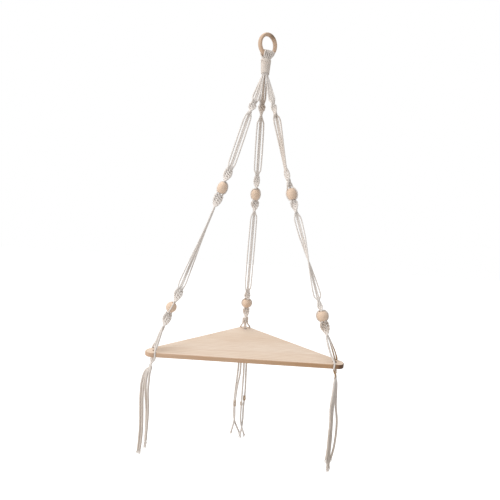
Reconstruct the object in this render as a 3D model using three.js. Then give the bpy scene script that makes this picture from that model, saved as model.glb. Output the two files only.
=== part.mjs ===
// A macramé corner shelf. One wooden ring hangs on a hook. Six cotton cords are folded over the
// ring, bound together by a wrapping cord, and part into three legs of four cords. Each leg is
// knotted, threaded through two wooden beads and tied under one corner of a triangular board.
//
// Millimetres, +Z up. The origin is where a hook bears, at the top of the ring's eye.
// +X runs along the board's long front edge and -Y faces the room.

import * as THREE from "three";

const turn = Math.PI * 2;
const wholeTurnDegrees = 360;
const halfTurnDegrees = 180;
const radians = THREE.MathUtils.degToRad;

// Ring
const ringOuterDiameter = 48.5;
const ringRadialThickness = 7.4;
const ringWidth = 11;
const ringTurnDegrees = 34;
const ringLeanDegrees = 6;
const ringSegments = 32;
const ringSectionPoints = 12;

// Cord
const cordDiameter = 3;
const cordInKnotDiameter = 2.3;
const fillerInKnotDiameter = 2.1;
const cordOnRingDiameter = 2.4;
const cordGap = 0.4;
const faceGap = 0.3;

// Wrapping cord
const wrapTurns = 8;
const wrapPitch = 3.5;
const wrapBelowRing = 7.6;
const wrapStepsPerTurn = 20;
const wrapSides = 5;
const wrapTopFlare = 0.7;

// Bundle of twelve cords inside the wrapping
const bundleInnerRadius = 2;
const bundleOuterRadius = 5.6;
const bundleSpreadDegrees = 40;

// Board
const boardLength = 440;
const boardThickness = 9.5;
const boardCornerRadius = 16;
const boardEdgeRound = 0.8;
const boardBelowWrap = 624.9;
const boardInFront = 82.05; // from the plumb line under the ring to the board's front edge
const boardAside = 0.09; // from the same line to the board's middle, so that it hangs level
const cornerArcSteps = 6;

// Cord holes and edge notches, measured from the board's corners as they were before rounding
const holeDiameter = 8;
const holeSegments = 16;
const notchWidth = 5;
const notchDepth = 4.8;
const notchArcSteps = 5;
const notchCordDepth = 2.4;
const earHoleFromCorner = 46;
const earNotchFromCorner = 47;
const backHoleFromCorner = 28.5;
const backNotchFromCorner = 20;

// Knots
const halfKnotPitch = 5.4;
const firstKnotBelowWrap = 72;
const ribbonHalfWidth = 7.1;
const ribbonRun = 9;
const usualHalfKnotCount = 5;
const shortHalfKnotCount = 3;
const fillerStepCount = 2;
const lastKnotGap = 5;
const knotSides = 5;
const fillerSides = 4;
const aboveBead = 2.6;
const belowBead = 4.6;
const underKnotDrop = 8;
const underHalfKnotCount = 2;
const hangRun = 4;

// Beads: the upper three are oval, the lower three are round
const beadBoreDiameter = 8.4;
const beadRim = 0.9;
const upperBeadDiameter = 22;
const upperBeadLength = 28;
const lowerBeadDiameter = 25;
const lowerBeadLength = 24;
const beadCordGap = 1;
const beadSegments = 12;
const beadArcSteps = 6;

// Tails
const frontTailLength = 220;
const backTailLength = 280;
const tailDiameter = 3.6;
const tailSides = 8;
const tailSteps = 10;

const ringWood = new THREE.MeshStandardMaterial({ color: 0xbf9f82, roughness: 0.55, metalness: 0 });
const beadWood = new THREE.MeshStandardMaterial({ color: 0xe1cab3, roughness: 0.5, metalness: 0 });
const boardWood = new THREE.MeshStandardMaterial({ color: 0xebdac9, roughness: 0.7, metalness: 0 });
const cotton = new THREE.MeshStandardMaterial({ color: 0xddd3cb, roughness: 0.95, metalness: 0 });

// Everything below the ring hangs plumb under the ring's foot, in a group of its own.
const shelf = new THREE.Group();
const suspension = new THREE.Group();
shelf.add(suspension);

function addMesh(group, name, geometry, material) {
  const mesh = new THREE.Mesh(geometry, material.clone());
  mesh.name = name;
  group.add(mesh);
  return mesh;
}

function vector(x, y, z) {
  return new THREE.Vector3(x, y, z);
}

// A closed rope solid through a list of { place, radius }. Each section lies in the plane that
// halves the bend at its point, and turns as little as it can from one stretch to the next. At a
// sharp bend the section's far corners are held back to a share of the radius.
const mostMitreShare = 1.06;

function ropeSolid(points, sides) {
  const directions = [];
  for (let i = 1; i < points.length; i++) {
    directions.push(points[i].place.clone().sub(points[i - 1].place).normalize());
  }
  const first = directions[0];
  const helper = Math.abs(first.z) < Math.abs(first.x) ? vector(0, 0, 1) : vector(1, 0, 0);
  const side = helper.cross(first).normalize();
  const positions = [];
  const carry = new THREE.Quaternion();
  points.forEach(({ place, radius }, i) => {
    const before = directions[Math.max(i - 1, 0)];
    const after = directions[Math.min(i, directions.length - 1)];
    const facing = before.clone().add(after).normalize();
    const up = before.clone().cross(side);
    for (let k = 0; k < sides; k++) {
      const angle = (turn * k) / sides;
      const spoke = side.clone().multiplyScalar(Math.cos(angle) * radius);
      spoke.addScaledVector(up, Math.sin(angle) * radius);
      spoke.addScaledVector(before, -spoke.dot(facing) / before.dot(facing));
      spoke.clampLength(0, radius * mostMitreShare);
      positions.push(place.x + spoke.x, place.y + spoke.y, place.z + spoke.z);
    }
    carry.setFromUnitVectors(before, after);
    side.applyQuaternion(carry);
  });
  const faces = [];
  for (let i = 0; i < points.length - 1; i++) {
    for (let k = 0; k < sides; k++) {
      const a = i * sides + k;
      const b = i * sides + ((k + 1) % sides);
      faces.push(a, b, b + sides, a, b + sides, a + sides);
    }
  }
  const last = (points.length - 1) * sides;
  for (let k = 1; k < sides - 1; k++) {
    faces.push(0, k + 1, k);
    faces.push(last, last + k, last + k + 1);
  }
  const geometry = new THREE.BufferGeometry();
  geometry.setAttribute("position", new THREE.Float32BufferAttribute(positions, 3));
  geometry.setIndex(faces);
  return geometry;
}

// The least clearance between stretches of one tube that lie further apart along it than `apart`.
function leastGapToItself(points, apart) {
  const along = [0];
  for (let i = 1; i < points.length; i++) {
    along.push(along[i - 1] + points[i].place.distanceTo(points[i - 1].place));
  }
  let least = Infinity;
  for (let i = 0; i < points.length; i++) {
    for (let j = i + 1; j < points.length; j++) {
      if (along[j] - along[i] > apart) {
        const between = points[i].place.distanceTo(points[j].place);
        least = Math.min(least, between - points[i].radius - points[j].radius);
      }
    }
  }
  return least;
}

// Ring, with its eye's top at the origin. It faces the room and the right, and leans forward.
const ringInnerRadius = ringOuterDiameter / 2 - ringRadialThickness;
const ringTubeRadius = ringInnerRadius + ringRadialThickness / 2;
const ringTurn = radians(ringTurnDegrees);
const ringLean = radians(ringLeanDegrees);
const ringFacing = vector(Math.sin(ringTurn), -Math.cos(ringTurn), 0);
const ringTangent = vector(Math.cos(ringTurn), Math.sin(ringTurn), 0);
const ringUp = ringFacing.clone().multiplyScalar(Math.sin(ringLean)).setZ(Math.cos(ringLean));
const ringAxis = ringUp.clone().cross(ringTangent).negate();
const ringCentre = ringUp.clone().multiplyScalar(-ringInnerRadius);
const ringFoot = ringCentre.clone().addScaledVector(ringUp, -ringTubeRadius);
suspension.position.set(ringFoot.x, ringFoot.y, 0);

function ringGeometry() {
  const profile = [];
  for (let i = 0; i <= ringSectionPoints; i++) {
    const angle = (turn * (i % ringSectionPoints)) / ringSectionPoints;
    const out = ringTubeRadius + (Math.cos(angle) * ringRadialThickness) / 2;
    profile.push(new THREE.Vector2(out, (Math.sin(angle) * ringWidth) / 2));
  }
  return new THREE.LatheGeometry(profile, ringSegments);
}

const ring = addMesh(shelf, "hanging_ring", ringGeometry(), ringWood);
ring.position.copy(ringCentre);
ring.quaternion.setFromUnitVectors(vector(0, 1, 0), ringAxis);

// Heights
const cordRadius = cordDiameter / 2;
const cordInKnotRadius = cordInKnotDiameter / 2;
const fillerInKnotRadius = fillerInKnotDiameter / 2;
const cordOnRingRadius = cordOnRingDiameter / 2;
const wrapTop = ringFoot.z - ringRadialThickness / 2 - wrapBelowRing;
const wrapBottom = wrapTop - wrapTurns * wrapPitch - cordDiameter;
const boardTop = wrapBottom - boardBelowWrap;

// The board's plan: a right angle at the back, corners named before rounding
const cornerHalfAngles = { left: 22.5, right: 22.5, back: 45 };
const tipShare = 1 / Math.tan(radians(cornerHalfAngles.left)) - 1;
const sharpHalfLength = boardLength / 2 + boardCornerRadius * tipShare;
const boardFront = -boardInFront;
const sharpCorners = {
  left: new THREE.Vector2(boardAside - sharpHalfLength, boardFront),
  right: new THREE.Vector2(boardAside + sharpHalfLength, boardFront),
  back: new THREE.Vector2(boardAside, boardFront + sharpHalfLength),
};
const cornerNotchDistance = {
  left: earNotchFromCorner,
  right: earNotchFromCorner,
  back: backNotchFromCorner,
};
const cornerHoleDistance = {
  left: earHoleFromCorner,
  right: earHoleFromCorner,
  back: backHoleFromCorner,
};
const cornerOrder = ["left", "right", "back"];

function edgeDirection(from, to) {
  return sharpCorners[to].clone().sub(sharpCorners[from]).normalize();
}

// The hole's centre, on the line that halves the corner.
function holeCentre(corner) {
  const others = cornerOrder.filter((name) => name !== corner);
  const inward = edgeDirection(corner, others[0]).add(edgeDirection(corner, others[1])).normalize();
  return sharpCorners[corner].clone().addScaledVector(inward, cornerHoleDistance[corner]);
}

// Where the cord lies in the notch near one corner, on the edge that leads to another.
function notchCordCentre(corner, towards) {
  const along = edgeDirection(corner, towards);
  const third = cornerOrder.find((name) => name !== corner && name !== towards);
  const inward = sharpCorners[third].clone().sub(sharpCorners[corner]);
  inward.addScaledVector(along, -inward.dot(along)).normalize();
  const centre = sharpCorners[corner].clone().addScaledVector(along, cornerNotchDistance[corner]);
  return centre.addScaledVector(inward, notchCordDepth);
}

// A notch with a round bottom, entered along an edge whose direction is `along`.
function notchPoints(centre, along) {
  const inward = new THREE.Vector2(-along.y, along.x);
  const radius = notchWidth / 2;
  const points = [centre.clone().addScaledVector(along, -radius)];
  const bottom = centre.clone().addScaledVector(inward, notchDepth - radius);
  for (let i = 0; i <= notchArcSteps; i++) {
    const angle = (Math.PI * i) / notchArcSteps;
    const point = bottom.clone().addScaledVector(along, -radius * Math.cos(angle));
    points.push(point.addScaledVector(inward, radius * Math.sin(angle)));
  }
  points.push(centre.clone().addScaledVector(along, radius));
  return points;
}

// The board's outline, anticlockwise: each edge with its two notches, then the next corner's arc.
function boardOutline() {
  const points = [];
  cornerOrder.forEach((from, i) => {
    const to = cornerOrder[(i + 1) % cornerOrder.length];
    const after = cornerOrder[(i + 2) % cornerOrder.length];
    const along = edgeDirection(from, to);
    const start = sharpCorners[from].clone().addScaledVector(along, cornerNotchDistance[from]);
    const end = sharpCorners[to].clone().addScaledVector(along, -cornerNotchDistance[to]);
    points.push(...notchPoints(start, along), ...notchPoints(end, along));
    const half = radians(cornerHalfAngles[to]);
    const tangentPoint = sharpCorners[to].clone();
    tangentPoint.addScaledVector(along, -boardCornerRadius / Math.tan(half));
    const inward = new THREE.Vector2(-along.y, along.x);
    const centre = tangentPoint.addScaledVector(inward, boardCornerRadius);
    const startAngle = Math.atan2(-inward.y, -inward.x);
    const next = edgeDirection(to, after);
    const sweep = THREE.MathUtils.euclideanModulo(Math.atan2(next.y, next.x) - along.angle(), turn);
    for (let k = 0; k <= cornerArcSteps; k++) {
      const angle = startAngle + (sweep * k) / cornerArcSteps;
      const spoke = new THREE.Vector2(Math.cos(angle), Math.sin(angle));
      points.push(centre.clone().addScaledVector(spoke, boardCornerRadius));
    }
  });
  return points;
}

function boardGeometry() {
  const shape = new THREE.Shape(boardOutline());
  for (const corner of cornerOrder) {
    const centre = holeCentre(corner);
    const rim = [];
    for (let i = 0; i < holeSegments; i++) {
      const angle = (-turn * i) / holeSegments;
      const spoke = new THREE.Vector2(Math.cos(angle), Math.sin(angle));
      rim.push(centre.clone().addScaledVector(spoke, holeDiameter / 2));
    }
    shape.holes.push(new THREE.Path(rim));
  }
  return new THREE.ExtrudeGeometry(shape, {
    depth: boardThickness - 2 * boardEdgeRound,
    bevelThickness: boardEdgeRound,
    bevelSize: boardEdgeRound,
    bevelOffset: -boardEdgeRound,
    bevelSegments: 1,
  });
}

const board = addMesh(suspension, "shelf_board", boardGeometry(), boardWood);
board.position.z = boardTop - boardThickness + boardEdgeRound;

// Wrapping cord: one even coil, a little wider at the top, where the cords spread to the ring
function wrapPoints() {
  const points = [];
  const steps = wrapTurns * wrapStepsPerTurn;
  const bottomRadius = bundleOuterRadius + cordDiameter + cordGap;
  for (let i = 0; i <= steps; i++) {
    const share = i / steps;
    const angle = turn * wrapTurns * share;
    const radius = bottomRadius + wrapTopFlare * share;
    const height = wrapBottom + cordRadius + wrapTurns * wrapPitch * share;
    const place = vector(radius * Math.cos(angle), radius * Math.sin(angle), height);
    points.push({ place, radius: cordRadius });
  }
  return points;
}

const wrapping = wrapPoints();
addMesh(suspension, "wrapping_cord", ropeSolid(wrapping, wrapSides), cotton);
const wrapGap = leastGapToItself(wrapping, cordDiameter * 2);
console.log("wrapping cord, least gap to itself:", wrapGap.toFixed(2), "mm");

// The path of one working cord through one half-knot, as shares of the pitch: across, out to the
// front, and down. It crosses in front of the core, runs under the other cord's descending side,
// comes out, crosses over the other cord's next end and dives behind. The next half-knot is the
// same path half a turn round and one pitch lower, and the other cord is half a turn round.
const halfKnotShares = {
  lead: [-1.48, 0.42, 0.1],
  centre: [0, 0.652, 0],
  under: [-1.388, 0.119, -0.169],
  outer: [-1.671, 0.56, 0.033],
  over: [-1.117, 0.935, 1.173],
  dive: [-0.683, -0.425, 1.575],
  leave: [-1.45, 0.15, 1.1],
};
const fillerShare = 0.279;

// The half-knot path's points for one cord of a sinnet, each with its own half-knot's number.
function sinnetStops(halfKnotCount) {
  const stops = [];
  for (const name of ["lead", "over", "dive"]) stops.push([name, -1]);
  for (let k = 0; k < halfKnotCount - 1; k++) {
    for (const name of ["centre", "under", "outer", "over", "dive"]) stops.push([name, k]);
  }
  for (const name of ["centre", "under", "outer", "leave"]) stops.push([name, halfKnotCount - 1]);
  return stops;
}

// Points of one working cord through a sinnet, as { across, out, down } from its first half-knot.
// cord is 0 for the one that starts on the right and 1 for the other.
function sinnetPath(cord, halfKnotCount, faceDegrees, twistDegrees) {
  return sinnetStops(halfKnotCount).map(([name, k]) => {
    const [acrossShare, outShare, downShare] = halfKnotShares[name];
    const half = Math.abs(k + cord) % 2 ? -1 : 1;
    const down = (k + downShare) * halfKnotPitch;
    const angle = radians(faceDegrees + (twistDegrees * down) / halfKnotPitch);
    const across = half * acrossShare * halfKnotPitch;
    const out = half * outShare * halfKnotPitch;
    const atEnd = name === "lead" || name === "leave";
    return {
      across: across * Math.cos(angle) - out * Math.sin(angle),
      out: across * Math.sin(angle) + out * Math.cos(angle),
      down,
      radius: atEnd ? cordRadius : cordInKnotRadius,
    };
  });
}

// Sinnets and beads of the legs, from the top. face is the way the flat side looks as the sinnet
// starts, counted from the room, and twist is how far each half-knot turns the next, in degrees. A
// ribbon turn is what the ribbon above the sinnet turns beyond the least that its ends ask for.
// Sway shares say how far the knots hang aside of a straight leg, as shares of half a ribbon.
// Bead shares are the beads' places, as shares of the drop to the board. Each bead has two cords
// beside it, each with its directions from the bead's middle as it enters and as it leaves.
const legPlans = {
  left: {
    sinnets: [
      { face: 0, twist: 34 },
      { face: 180, twist: 20 },
      { face: 0, twist: 22 },
      { face: 0, twist: 22 },
      { face: 0, twist: 20 },
    ],
    swayShares: [0, 0.73, 0.73, -0.18, -0.18],
    beadShares: { upper: 0.4334, lower: 0.8924 },
    beadSides: {
      upper: [[340, 340], [200, 200]],
      lower: [[62, 118], [262, 298]],
    },
    underLean: 18,
    towards: ["right", "back"],
  },
  right: {
    sinnets: [
      { face: 0, twist: 36 },
      { face: 262, twist: 18 },
      { face: 10, twist: 32 },
      { face: 10, twist: 24, halfKnotCount: shortHalfKnotCount, ribbonTurn: halfTurnDegrees },
      { face: 10, twist: 22 },
    ],
    swayShares: [0.28, -0.7, -0.7, -0.39, -0.39],
    beadShares: { upper: 0.437, lower: 0.8858 },
    beadSides: {
      upper: [[5, 5], [200, 200]],
      lower: [[5, 5], [195, 195]],
    },
    underLean: 12,
    towards: ["left", "back"],
  },
  back: {
    sinnets: [
      { face: 0, twist: 34 },
      { face: 180, twist: 22 },
      { face: 0, twist: 32 },
      { face: 0, twist: 22, halfKnotCount: shortHalfKnotCount },
      { face: 0, twist: 24 },
      { face: 0, twist: 0, halfKnotCount: 2 },
    ],
    swayShares: [-0.21, 0, 0, -0.16, -0.16, -0.16],
    beadShares: { upper: 0.4297, lower: 0.8983 },
    beadSides: {
      upper: [[355, 355], [185, 185]],
      lower: [[355, 355], [185, 185]],
    },
    underLean: 10,
    towards: ["right", "left"],
  },
};

// Frame of a leg: its top, its direction down, its right and its front.
function legFrame(corner) {
  const hole = holeCentre(corner);
  const origin = vector(0, 0, wrapBottom);
  const down = vector(hole.x, hole.y, boardTop).sub(origin).normalize();
  const right = vector(1, 0, 0);
  right.addScaledVector(down, -right.dot(down)).normalize();
  const front = down.clone().cross(right);
  return { origin, down, right, front };
}

// Frame under a corner of the board. It leans outwards like the leg, and its right runs from the
// second notch to the first.
function underFrame(corner) {
  const hole = holeCentre(corner);
  const outward = sharpCorners[corner].clone().sub(hole).normalize();
  const lean = radians(legPlans[corner].underLean);
  const origin = vector(hole.x, hole.y, boardTop - boardThickness);
  const down = vector(outward.x * Math.sin(lean), outward.y * Math.sin(lean), -Math.cos(lean));
  const [first, second] = legPlans[corner].towards.map((to) => notchCordCentre(corner, to));
  const right = vector(first.x - second.x, first.y - second.y, 0).normalize();
  const front = down.clone().cross(right);
  return { origin, down, right, front };
}

function placeIn(frame, across, out, down) {
  const place = frame.origin.clone().addScaledVector(frame.right, across);
  return place.addScaledVector(frame.front, out).addScaledVector(frame.down, down);
}

function directionIn(frame, way) {
  return THREE.MathUtils.radToDeg(Math.atan2(way.dot(frame.front), way.dot(frame.right)));
}

// The angle nearest to another that equals the given one but for whole steps.
function nearest(degrees, other, step) {
  return degrees + step * Math.round((other - degrees) / step);
}

function isWithinQuarterTurn(degrees, other) {
  return Math.abs(nearest(degrees, other, wholeTurnDegrees) - other) <= halfTurnDegrees / 2;
}

const beads = {
  upper: { diameter: upperBeadDiameter, length: upperBeadLength },
  lower: { diameter: lowerBeadDiameter, length: lowerBeadLength },
};
const beadAfterSinnet = { 1: "upper", 3: "lower" };
const beadStationDegrees = [-52, -26, 0, 26, 52];

function beadStation(corner, name) {
  return legPlans[corner].beadShares[name] * boardBelowWrap;
}

// How far below the wrapping each sinnet's first half-knot lies: one high up, then one above and
// one below each bead, and on the back leg a short one close to the board.
function sinnetStarts(corner) {
  const runs = legPlans[corner].sinnets.map((sinnet) => halfKnotCountOf(sinnet) * halfKnotPitch);
  const starts = [firstKnotBelowWrap];
  for (const name of ["upper", "lower"]) {
    const station = beadStation(corner, name);
    starts.push(station - beads[name].length / 2 - aboveBead - runs[starts.length]);
    starts.push(station + beads[name].length / 2 + belowBead);
  }
  starts.push(starts[starts.length - 1] + runs[starts.length - 1] + lastKnotGap);
  return starts;
}

function halfKnotCountOf({ halfKnotCount = usualHalfKnotCount }) {
  return halfKnotCount;
}

// Follows the first working cord down a leg. Gives each sinnet's face as that cord meets it, the
// cord's direction after the sinnet, and the two cords' directions at the bead below.
function followLeg(corner) {
  const { sinnets, swayShares, beadSides } = legPlans[corner];
  const frame = legFrame(corner);
  const starts = sinnetStarts(corner);
  let direction = 0;
  let ribbonTop = 0;
  const steps = sinnets.map((sinnet, index) => {
    const { twist, ribbonTurn = 0 } = sinnet;
    const halfKnotCount = halfKnotCountOf(sinnet);
    const face = nearest(sinnet.face, direction, halfTurnDegrees) + ribbonTurn;
    const step = { face, twist, halfKnotCount, start: starts[index], before: direction };
    direction = face + twist * halfKnotCount + (halfKnotCount % 2) * halfTurnDegrees;
    step.after = direction;
    step.end = step.start + halfKnotCount * halfKnotPitch;
    step.ribbonTop = ribbonTop;
    step.ribbonEnd = step.start - halfKnotPitch - ribbonRun;
    ribbonTop = step.end + ribbonRun;
    step.sway = swayShares[index] * ribbonHalfWidth;
    step.isLast = index === sinnets.length - 1;
    step.beadName = beadAfterSinnet[index];
    step.followsBead = index - 1 in beadAfterSinnet;
    step.endsRibbon = !step.followsBead && step.ribbonEnd > step.ribbonTop;
    if (step.beadName) {
      const [one, other] = beadSides[step.beadName];
      const swapped = !isWithinQuarterTurn(one[0], direction);
      step.station = beadStation(corner, step.beadName);
      step.sides = swapped ? [other, one] : [one, other];
      direction = nearest(step.sides[0][1], direction, wholeTurnDegrees);
    }
    return step;
  });
  const swapsBelow = !isWithinQuarterTurn(directionIn(frame, underFrame(corner).right), direction);
  return { frame, steps, swapsBelow };
}

// Places where the ribbon above a sinnet is held: its end, and on the way there one for each part
// of a ribbon that turns far, with the turn since the ribbon's top.
const ribbonTurnShares = [0.25, 0.5, 0.75];

function ribbonStops(step, swayAbove) {
  if (!step.endsRibbon) return [];
  const turned = step.face - step.before;
  const shares = Math.abs(turned) > halfTurnDegrees / 2 ? [...ribbonTurnShares, 1] : [1];
  return shares.map((share) => ({
    degrees: turned * share,
    down: THREE.MathUtils.lerp(step.ribbonTop, step.ribbonEnd, share),
    sway: THREE.MathUtils.lerp(swayAbove, step.sway, share),
  }));
}

// Twelve cords stand in the wrapping: each leg has one inside and three round it. Of each pair
// the cord that stands further along +X comes first.
const legDirections = { left: 210, right: 330, back: 90 };
const bundlePlans = {
  left: {
    working: [[bundleOuterRadius, 1], [bundleOuterRadius, -1]],
    filler: [[bundleInnerRadius, 0], [bundleOuterRadius, 0]],
  },
  right: {
    working: [[bundleOuterRadius, 1], [bundleOuterRadius, -1]],
    filler: [[bundleOuterRadius, 0], [bundleInnerRadius, 0]],
  },
  back: {
    working: [[bundleOuterRadius, -1], [bundleOuterRadius, 1]],
    filler: [[bundleInnerRadius, 0], [bundleOuterRadius, 0]],
  },
};

function bundleStart(corner, kind, index) {
  const [radius, step] = bundlePlans[corner][kind][index];
  const angle = radians(legDirections[corner] + step * bundleSpreadDegrees);
  return [wrapTop, wrapBottom].map((height) => ({
    place: vector(radius * Math.cos(angle), radius * Math.sin(angle), height),
    radius: cordRadius,
  }));
}

// A working cord from the top of the wrapping to the end of the knot under the board.
function workingCord(corner, cord) {
  const { frame, steps, swapsBelow } = followLeg(corner);
  const points = bundleStart(corner, "working", cord);
  const pushRound = (distance, degrees, down, sway) => {
    const across = distance * Math.cos(radians(degrees)) + sway;
    const out = distance * Math.sin(radians(degrees));
    points.push({ place: placeIn(frame, across, out, down), radius: cordRadius });
  };
  const ownSide = cord * halfTurnDegrees;
  let swayAbove = 0;
  for (const step of steps) {
    for (const { degrees, down, sway } of ribbonStops(step, swayAbove)) {
      pushRound(ribbonHalfWidth, step.before + degrees + ownSide, down, sway);
    }
    swayAbove = step.sway;
    for (const at of sinnetPath(cord, step.halfKnotCount, step.face, step.twist)) {
      const place = placeIn(frame, at.across + step.sway, at.out, step.start + at.down);
      points.push({ place, radius: at.radius });
    }
    if (step.beadName) {
      const [enters, leaves] = step.sides[cord];
      beadStationDegrees.forEach((latitude, i) => {
        const direction = enters + ((leaves - enters) * i) / (beadStationDegrees.length - 1);
        const at = besideBead(beads[step.beadName], latitude);
        pushRound(at.out, direction, step.station + at.down, step.sway);
      });
    } else if (step.end < beadStation(corner, "lower")) {
      pushRound(ribbonHalfWidth, step.after + ownSide, step.end + ribbonRun, step.sway);
    }
  }
  const slot = swapsBelow ? 1 - cord : cord;
  return { points: points.concat(underBoard(corner, slot)), slot };
}

// Where a cord's middle lies beside a bead, square out from the bead's skin at a latitude.
function besideBead(bead, latitude) {
  const wide = bead.diameter / 2;
  const long = bead.length / 2;
  const skin = new THREE.Vector2(wide * Math.cos(radians(latitude)), long * Math.sin(radians(latitude)));
  const square = new THREE.Vector2(skin.x / (wide * wide), skin.y / (long * long)).normalize();
  skin.addScaledVector(square, cordRadius + beadCordGap);
  return { out: skin.x, down: skin.y };
}

// The last run of a working cord: down through its notch, in under the board and into the knot.
function underBoard(corner, slot) {
  const notch = notchCordCentre(corner, legPlans[corner].towards[slot]);
  const heights = [boardTop + cordDiameter, boardTop - boardThickness - cordRadius];
  const points = heights.map((height) => ({ place: vector(notch.x, notch.y, height), radius: cordRadius }));
  const frame = underFrame(corner);
  for (const at of sinnetPath(slot, underHalfKnotCount, 0, 0)) {
    points.push({ place: placeIn(frame, at.across, at.out, underKnotDrop + at.down), radius: at.radius });
  }
  return points.concat(hangingEnd(corner, "working", slot));
}

// The end of a cord under the knot: four hang side by side, each straight down for its last stretch.
function hangingEnd(corner, kind, slot) {
  const spacing = tailDiameter + cordGap;
  const offset = kind === "working" ? 1.5 * spacing : 0.5 * spacing;
  const drop = underKnotDrop + underHalfKnotCount * halfKnotPitch + hangRun;
  const across = slot ? -offset : offset;
  const place = placeIn(underFrame(corner), across, 0, drop);
  const lower = place.clone();
  lower.z -= cordDiameter;
  return [place, lower].map((at) => ({ place: at, radius: cordRadius }));
}

// A filler cord: down the core of every sinnet, through the beads and through the board's hole.
function fillerCord(corner, index) {
  const { frame, steps } = followLeg(corner);
  const points = bundleStart(corner, "filler", index);
  const apart = cordRadius + cordGap / 2;
  const inKnot = fillerShare * halfKnotPitch;
  const push = (distance, degrees, down, sway, radius) => {
    const across = distance * Math.cos(radians(degrees)) + sway;
    const out = distance * Math.sin(radians(degrees));
    points.push({ place: placeIn(frame, across, out, down), radius });
  };
  let direction = index * halfTurnDegrees;
  let swayAbove = 0;
  for (const step of steps) {
    for (const { degrees, down, sway } of ribbonStops(step, swayAbove)) {
      push(apart, direction + degrees, down, sway, cordRadius);
    }
    swayAbove = step.sway;
    if (step.followsBead) direction = nearest(step.face, direction, halfTurnDegrees);
    else direction += step.face - step.before;
    for (let k = 0; k <= step.halfKnotCount; k += fillerStepCount) {
      const down = step.start + k * halfKnotPitch;
      push(inKnot, direction + step.twist * k, down, step.sway, fillerInKnotRadius);
    }
    direction += step.twist * step.halfKnotCount;
    if (step.beadName) {
      push(apart, direction, step.station, step.sway, cordRadius);
    } else if (step.end < beadStation(corner, "lower")) {
      push(apart, direction, step.end + ribbonRun, step.sway, cordRadius);
    }
  }
  const under = underFrame(corner);
  const slot = isWithinQuarterTurn(directionIn(frame, under.right), direction) ? 0 : 1;
  const side = slot ? -1 : 1;
  const inHole = under.origin.clone().addScaledVector(under.right, side * apart);
  for (const height of [boardTop + cordDiameter, boardTop - boardThickness]) {
    points.push({ place: inHole.clone().setZ(height), radius: cordRadius });
  }
  const knotStart = underKnotDrop - halfKnotPitch / 2;
  const knotEnd = underKnotDrop + halfKnotPitch * (underHalfKnotCount - 0.5);
  for (const down of [knotStart, knotEnd]) {
    points.push({ place: placeIn(under, side * inKnot, 0, down), radius: fillerInKnotRadius });
  }
  return { points: points.concat(hangingEnd(corner, "filler", slot)), slot };
}

const legCords = [];
for (const corner of cornerOrder) {
  for (const index of [0, 1]) {
    const letter = ["a", "b"][index];
    const filler = { corner, kind: "filler", ...fillerCord(corner, index) };
    legCords.push({ name: `${corner}_filler_cord_${letter}`, ...filler });
    const working = { corner, kind: "working", ...workingCord(corner, index) };
    legCords.push({ name: `${corner}_working_cord_${letter}`, ...working });
  }
}
for (const { name, kind, points } of legCords) {
  addMesh(suspension, name, ropeSolid(points, kind === "filler" ? fillerSides : knotSides), cotton);
  if (kind === "working") {
    const gap = leastGapToItself(points, halfKnotPitch * 1.4);
    console.log(name, "least gap to itself:", gap.toFixed(2), "mm");
  }
}

// A bead: an oval of revolution with a straight bore, its axis along the leg
function beadGeometry(bead) {
  const bore = beadBoreDiameter / 2;
  const rim = Math.acos((bore + beadRim) / (bead.diameter / 2));
  const endHeight = (bead.length / 2) * Math.sin(rim);
  const profile = [new THREE.Vector2(bore, -endHeight)];
  for (let i = 0; i <= beadArcSteps; i++) {
    const angle = -rim + (2 * rim * i) / beadArcSteps;
    const radius = (bead.diameter / 2) * Math.cos(angle);
    profile.push(new THREE.Vector2(radius, (bead.length / 2) * Math.sin(angle)));
  }
  profile.push(new THREE.Vector2(bore, endHeight), new THREE.Vector2(bore, -endHeight));
  return new THREE.LatheGeometry(profile, beadSegments);
}

for (const corner of cornerOrder) {
  const { frame, steps } = followLeg(corner);
  for (const { beadName, station, sway } of steps.filter((step) => step.beadName)) {
    const bead = addMesh(suspension, `${corner}_${beadName}_bead`, beadGeometry(beads[beadName]), beadWood);
    bead.position.copy(placeIn(frame, sway, 0, station));
    bead.quaternion.setFromUnitVectors(vector(0, -1, 0), frame.down);
  }
}

// Six cords folded over the foot of the ring. Each bend lies square to the ring's tube, and its
// two legs run in to their places in the bundle.
const loopCount = 6;
const loopArcSteps = 8;
const loopTopGap = 0.6;
const loopEndAngle = -18;
const sightFromRing = 15;

function loopPoints(index, frontEnd, backEnd) {
  const innerRing = ringInnerRadius - loopTopGap - cordOnRingRadius;
  const spacing = (cordDiameter + cordGap) / innerRing;
  const aside = (index - (loopCount - 1) / 2) * spacing;
  const outward = ringTangent.clone().multiplyScalar(Math.sin(aside));
  outward.addScaledVector(ringUp, -Math.cos(aside));
  const tube = ringCentre.clone().addScaledVector(outward, ringTubeRadius);
  const wide = ringWidth / 2 + loopTopGap + cordOnRingRadius;
  const high = ringRadialThickness / 2 + loopTopGap + cordOnRingRadius;
  const points = straightEnd(frontEnd);
  for (let i = 0; i <= loopArcSteps; i++) {
    const angle = radians(loopEndAngle + ((halfTurnDegrees - 2 * loopEndAngle) * i) / loopArcSteps);
    const place = tube.clone().addScaledVector(ringAxis, wide * Math.cos(angle));
    points.push({ place: place.addScaledVector(outward, -high * Math.sin(angle)), radius: cordOnRingRadius });
  }
  return points.concat(straightEnd(backEnd).reverse());
}

// A loop's end and the point one diameter above it.
function straightEnd(end) {
  const above = end.clone();
  above.z += cordOnRingDiameter;
  return [end, above].map((place) => ({ place, radius: cordOnRingRadius }));
}

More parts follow.
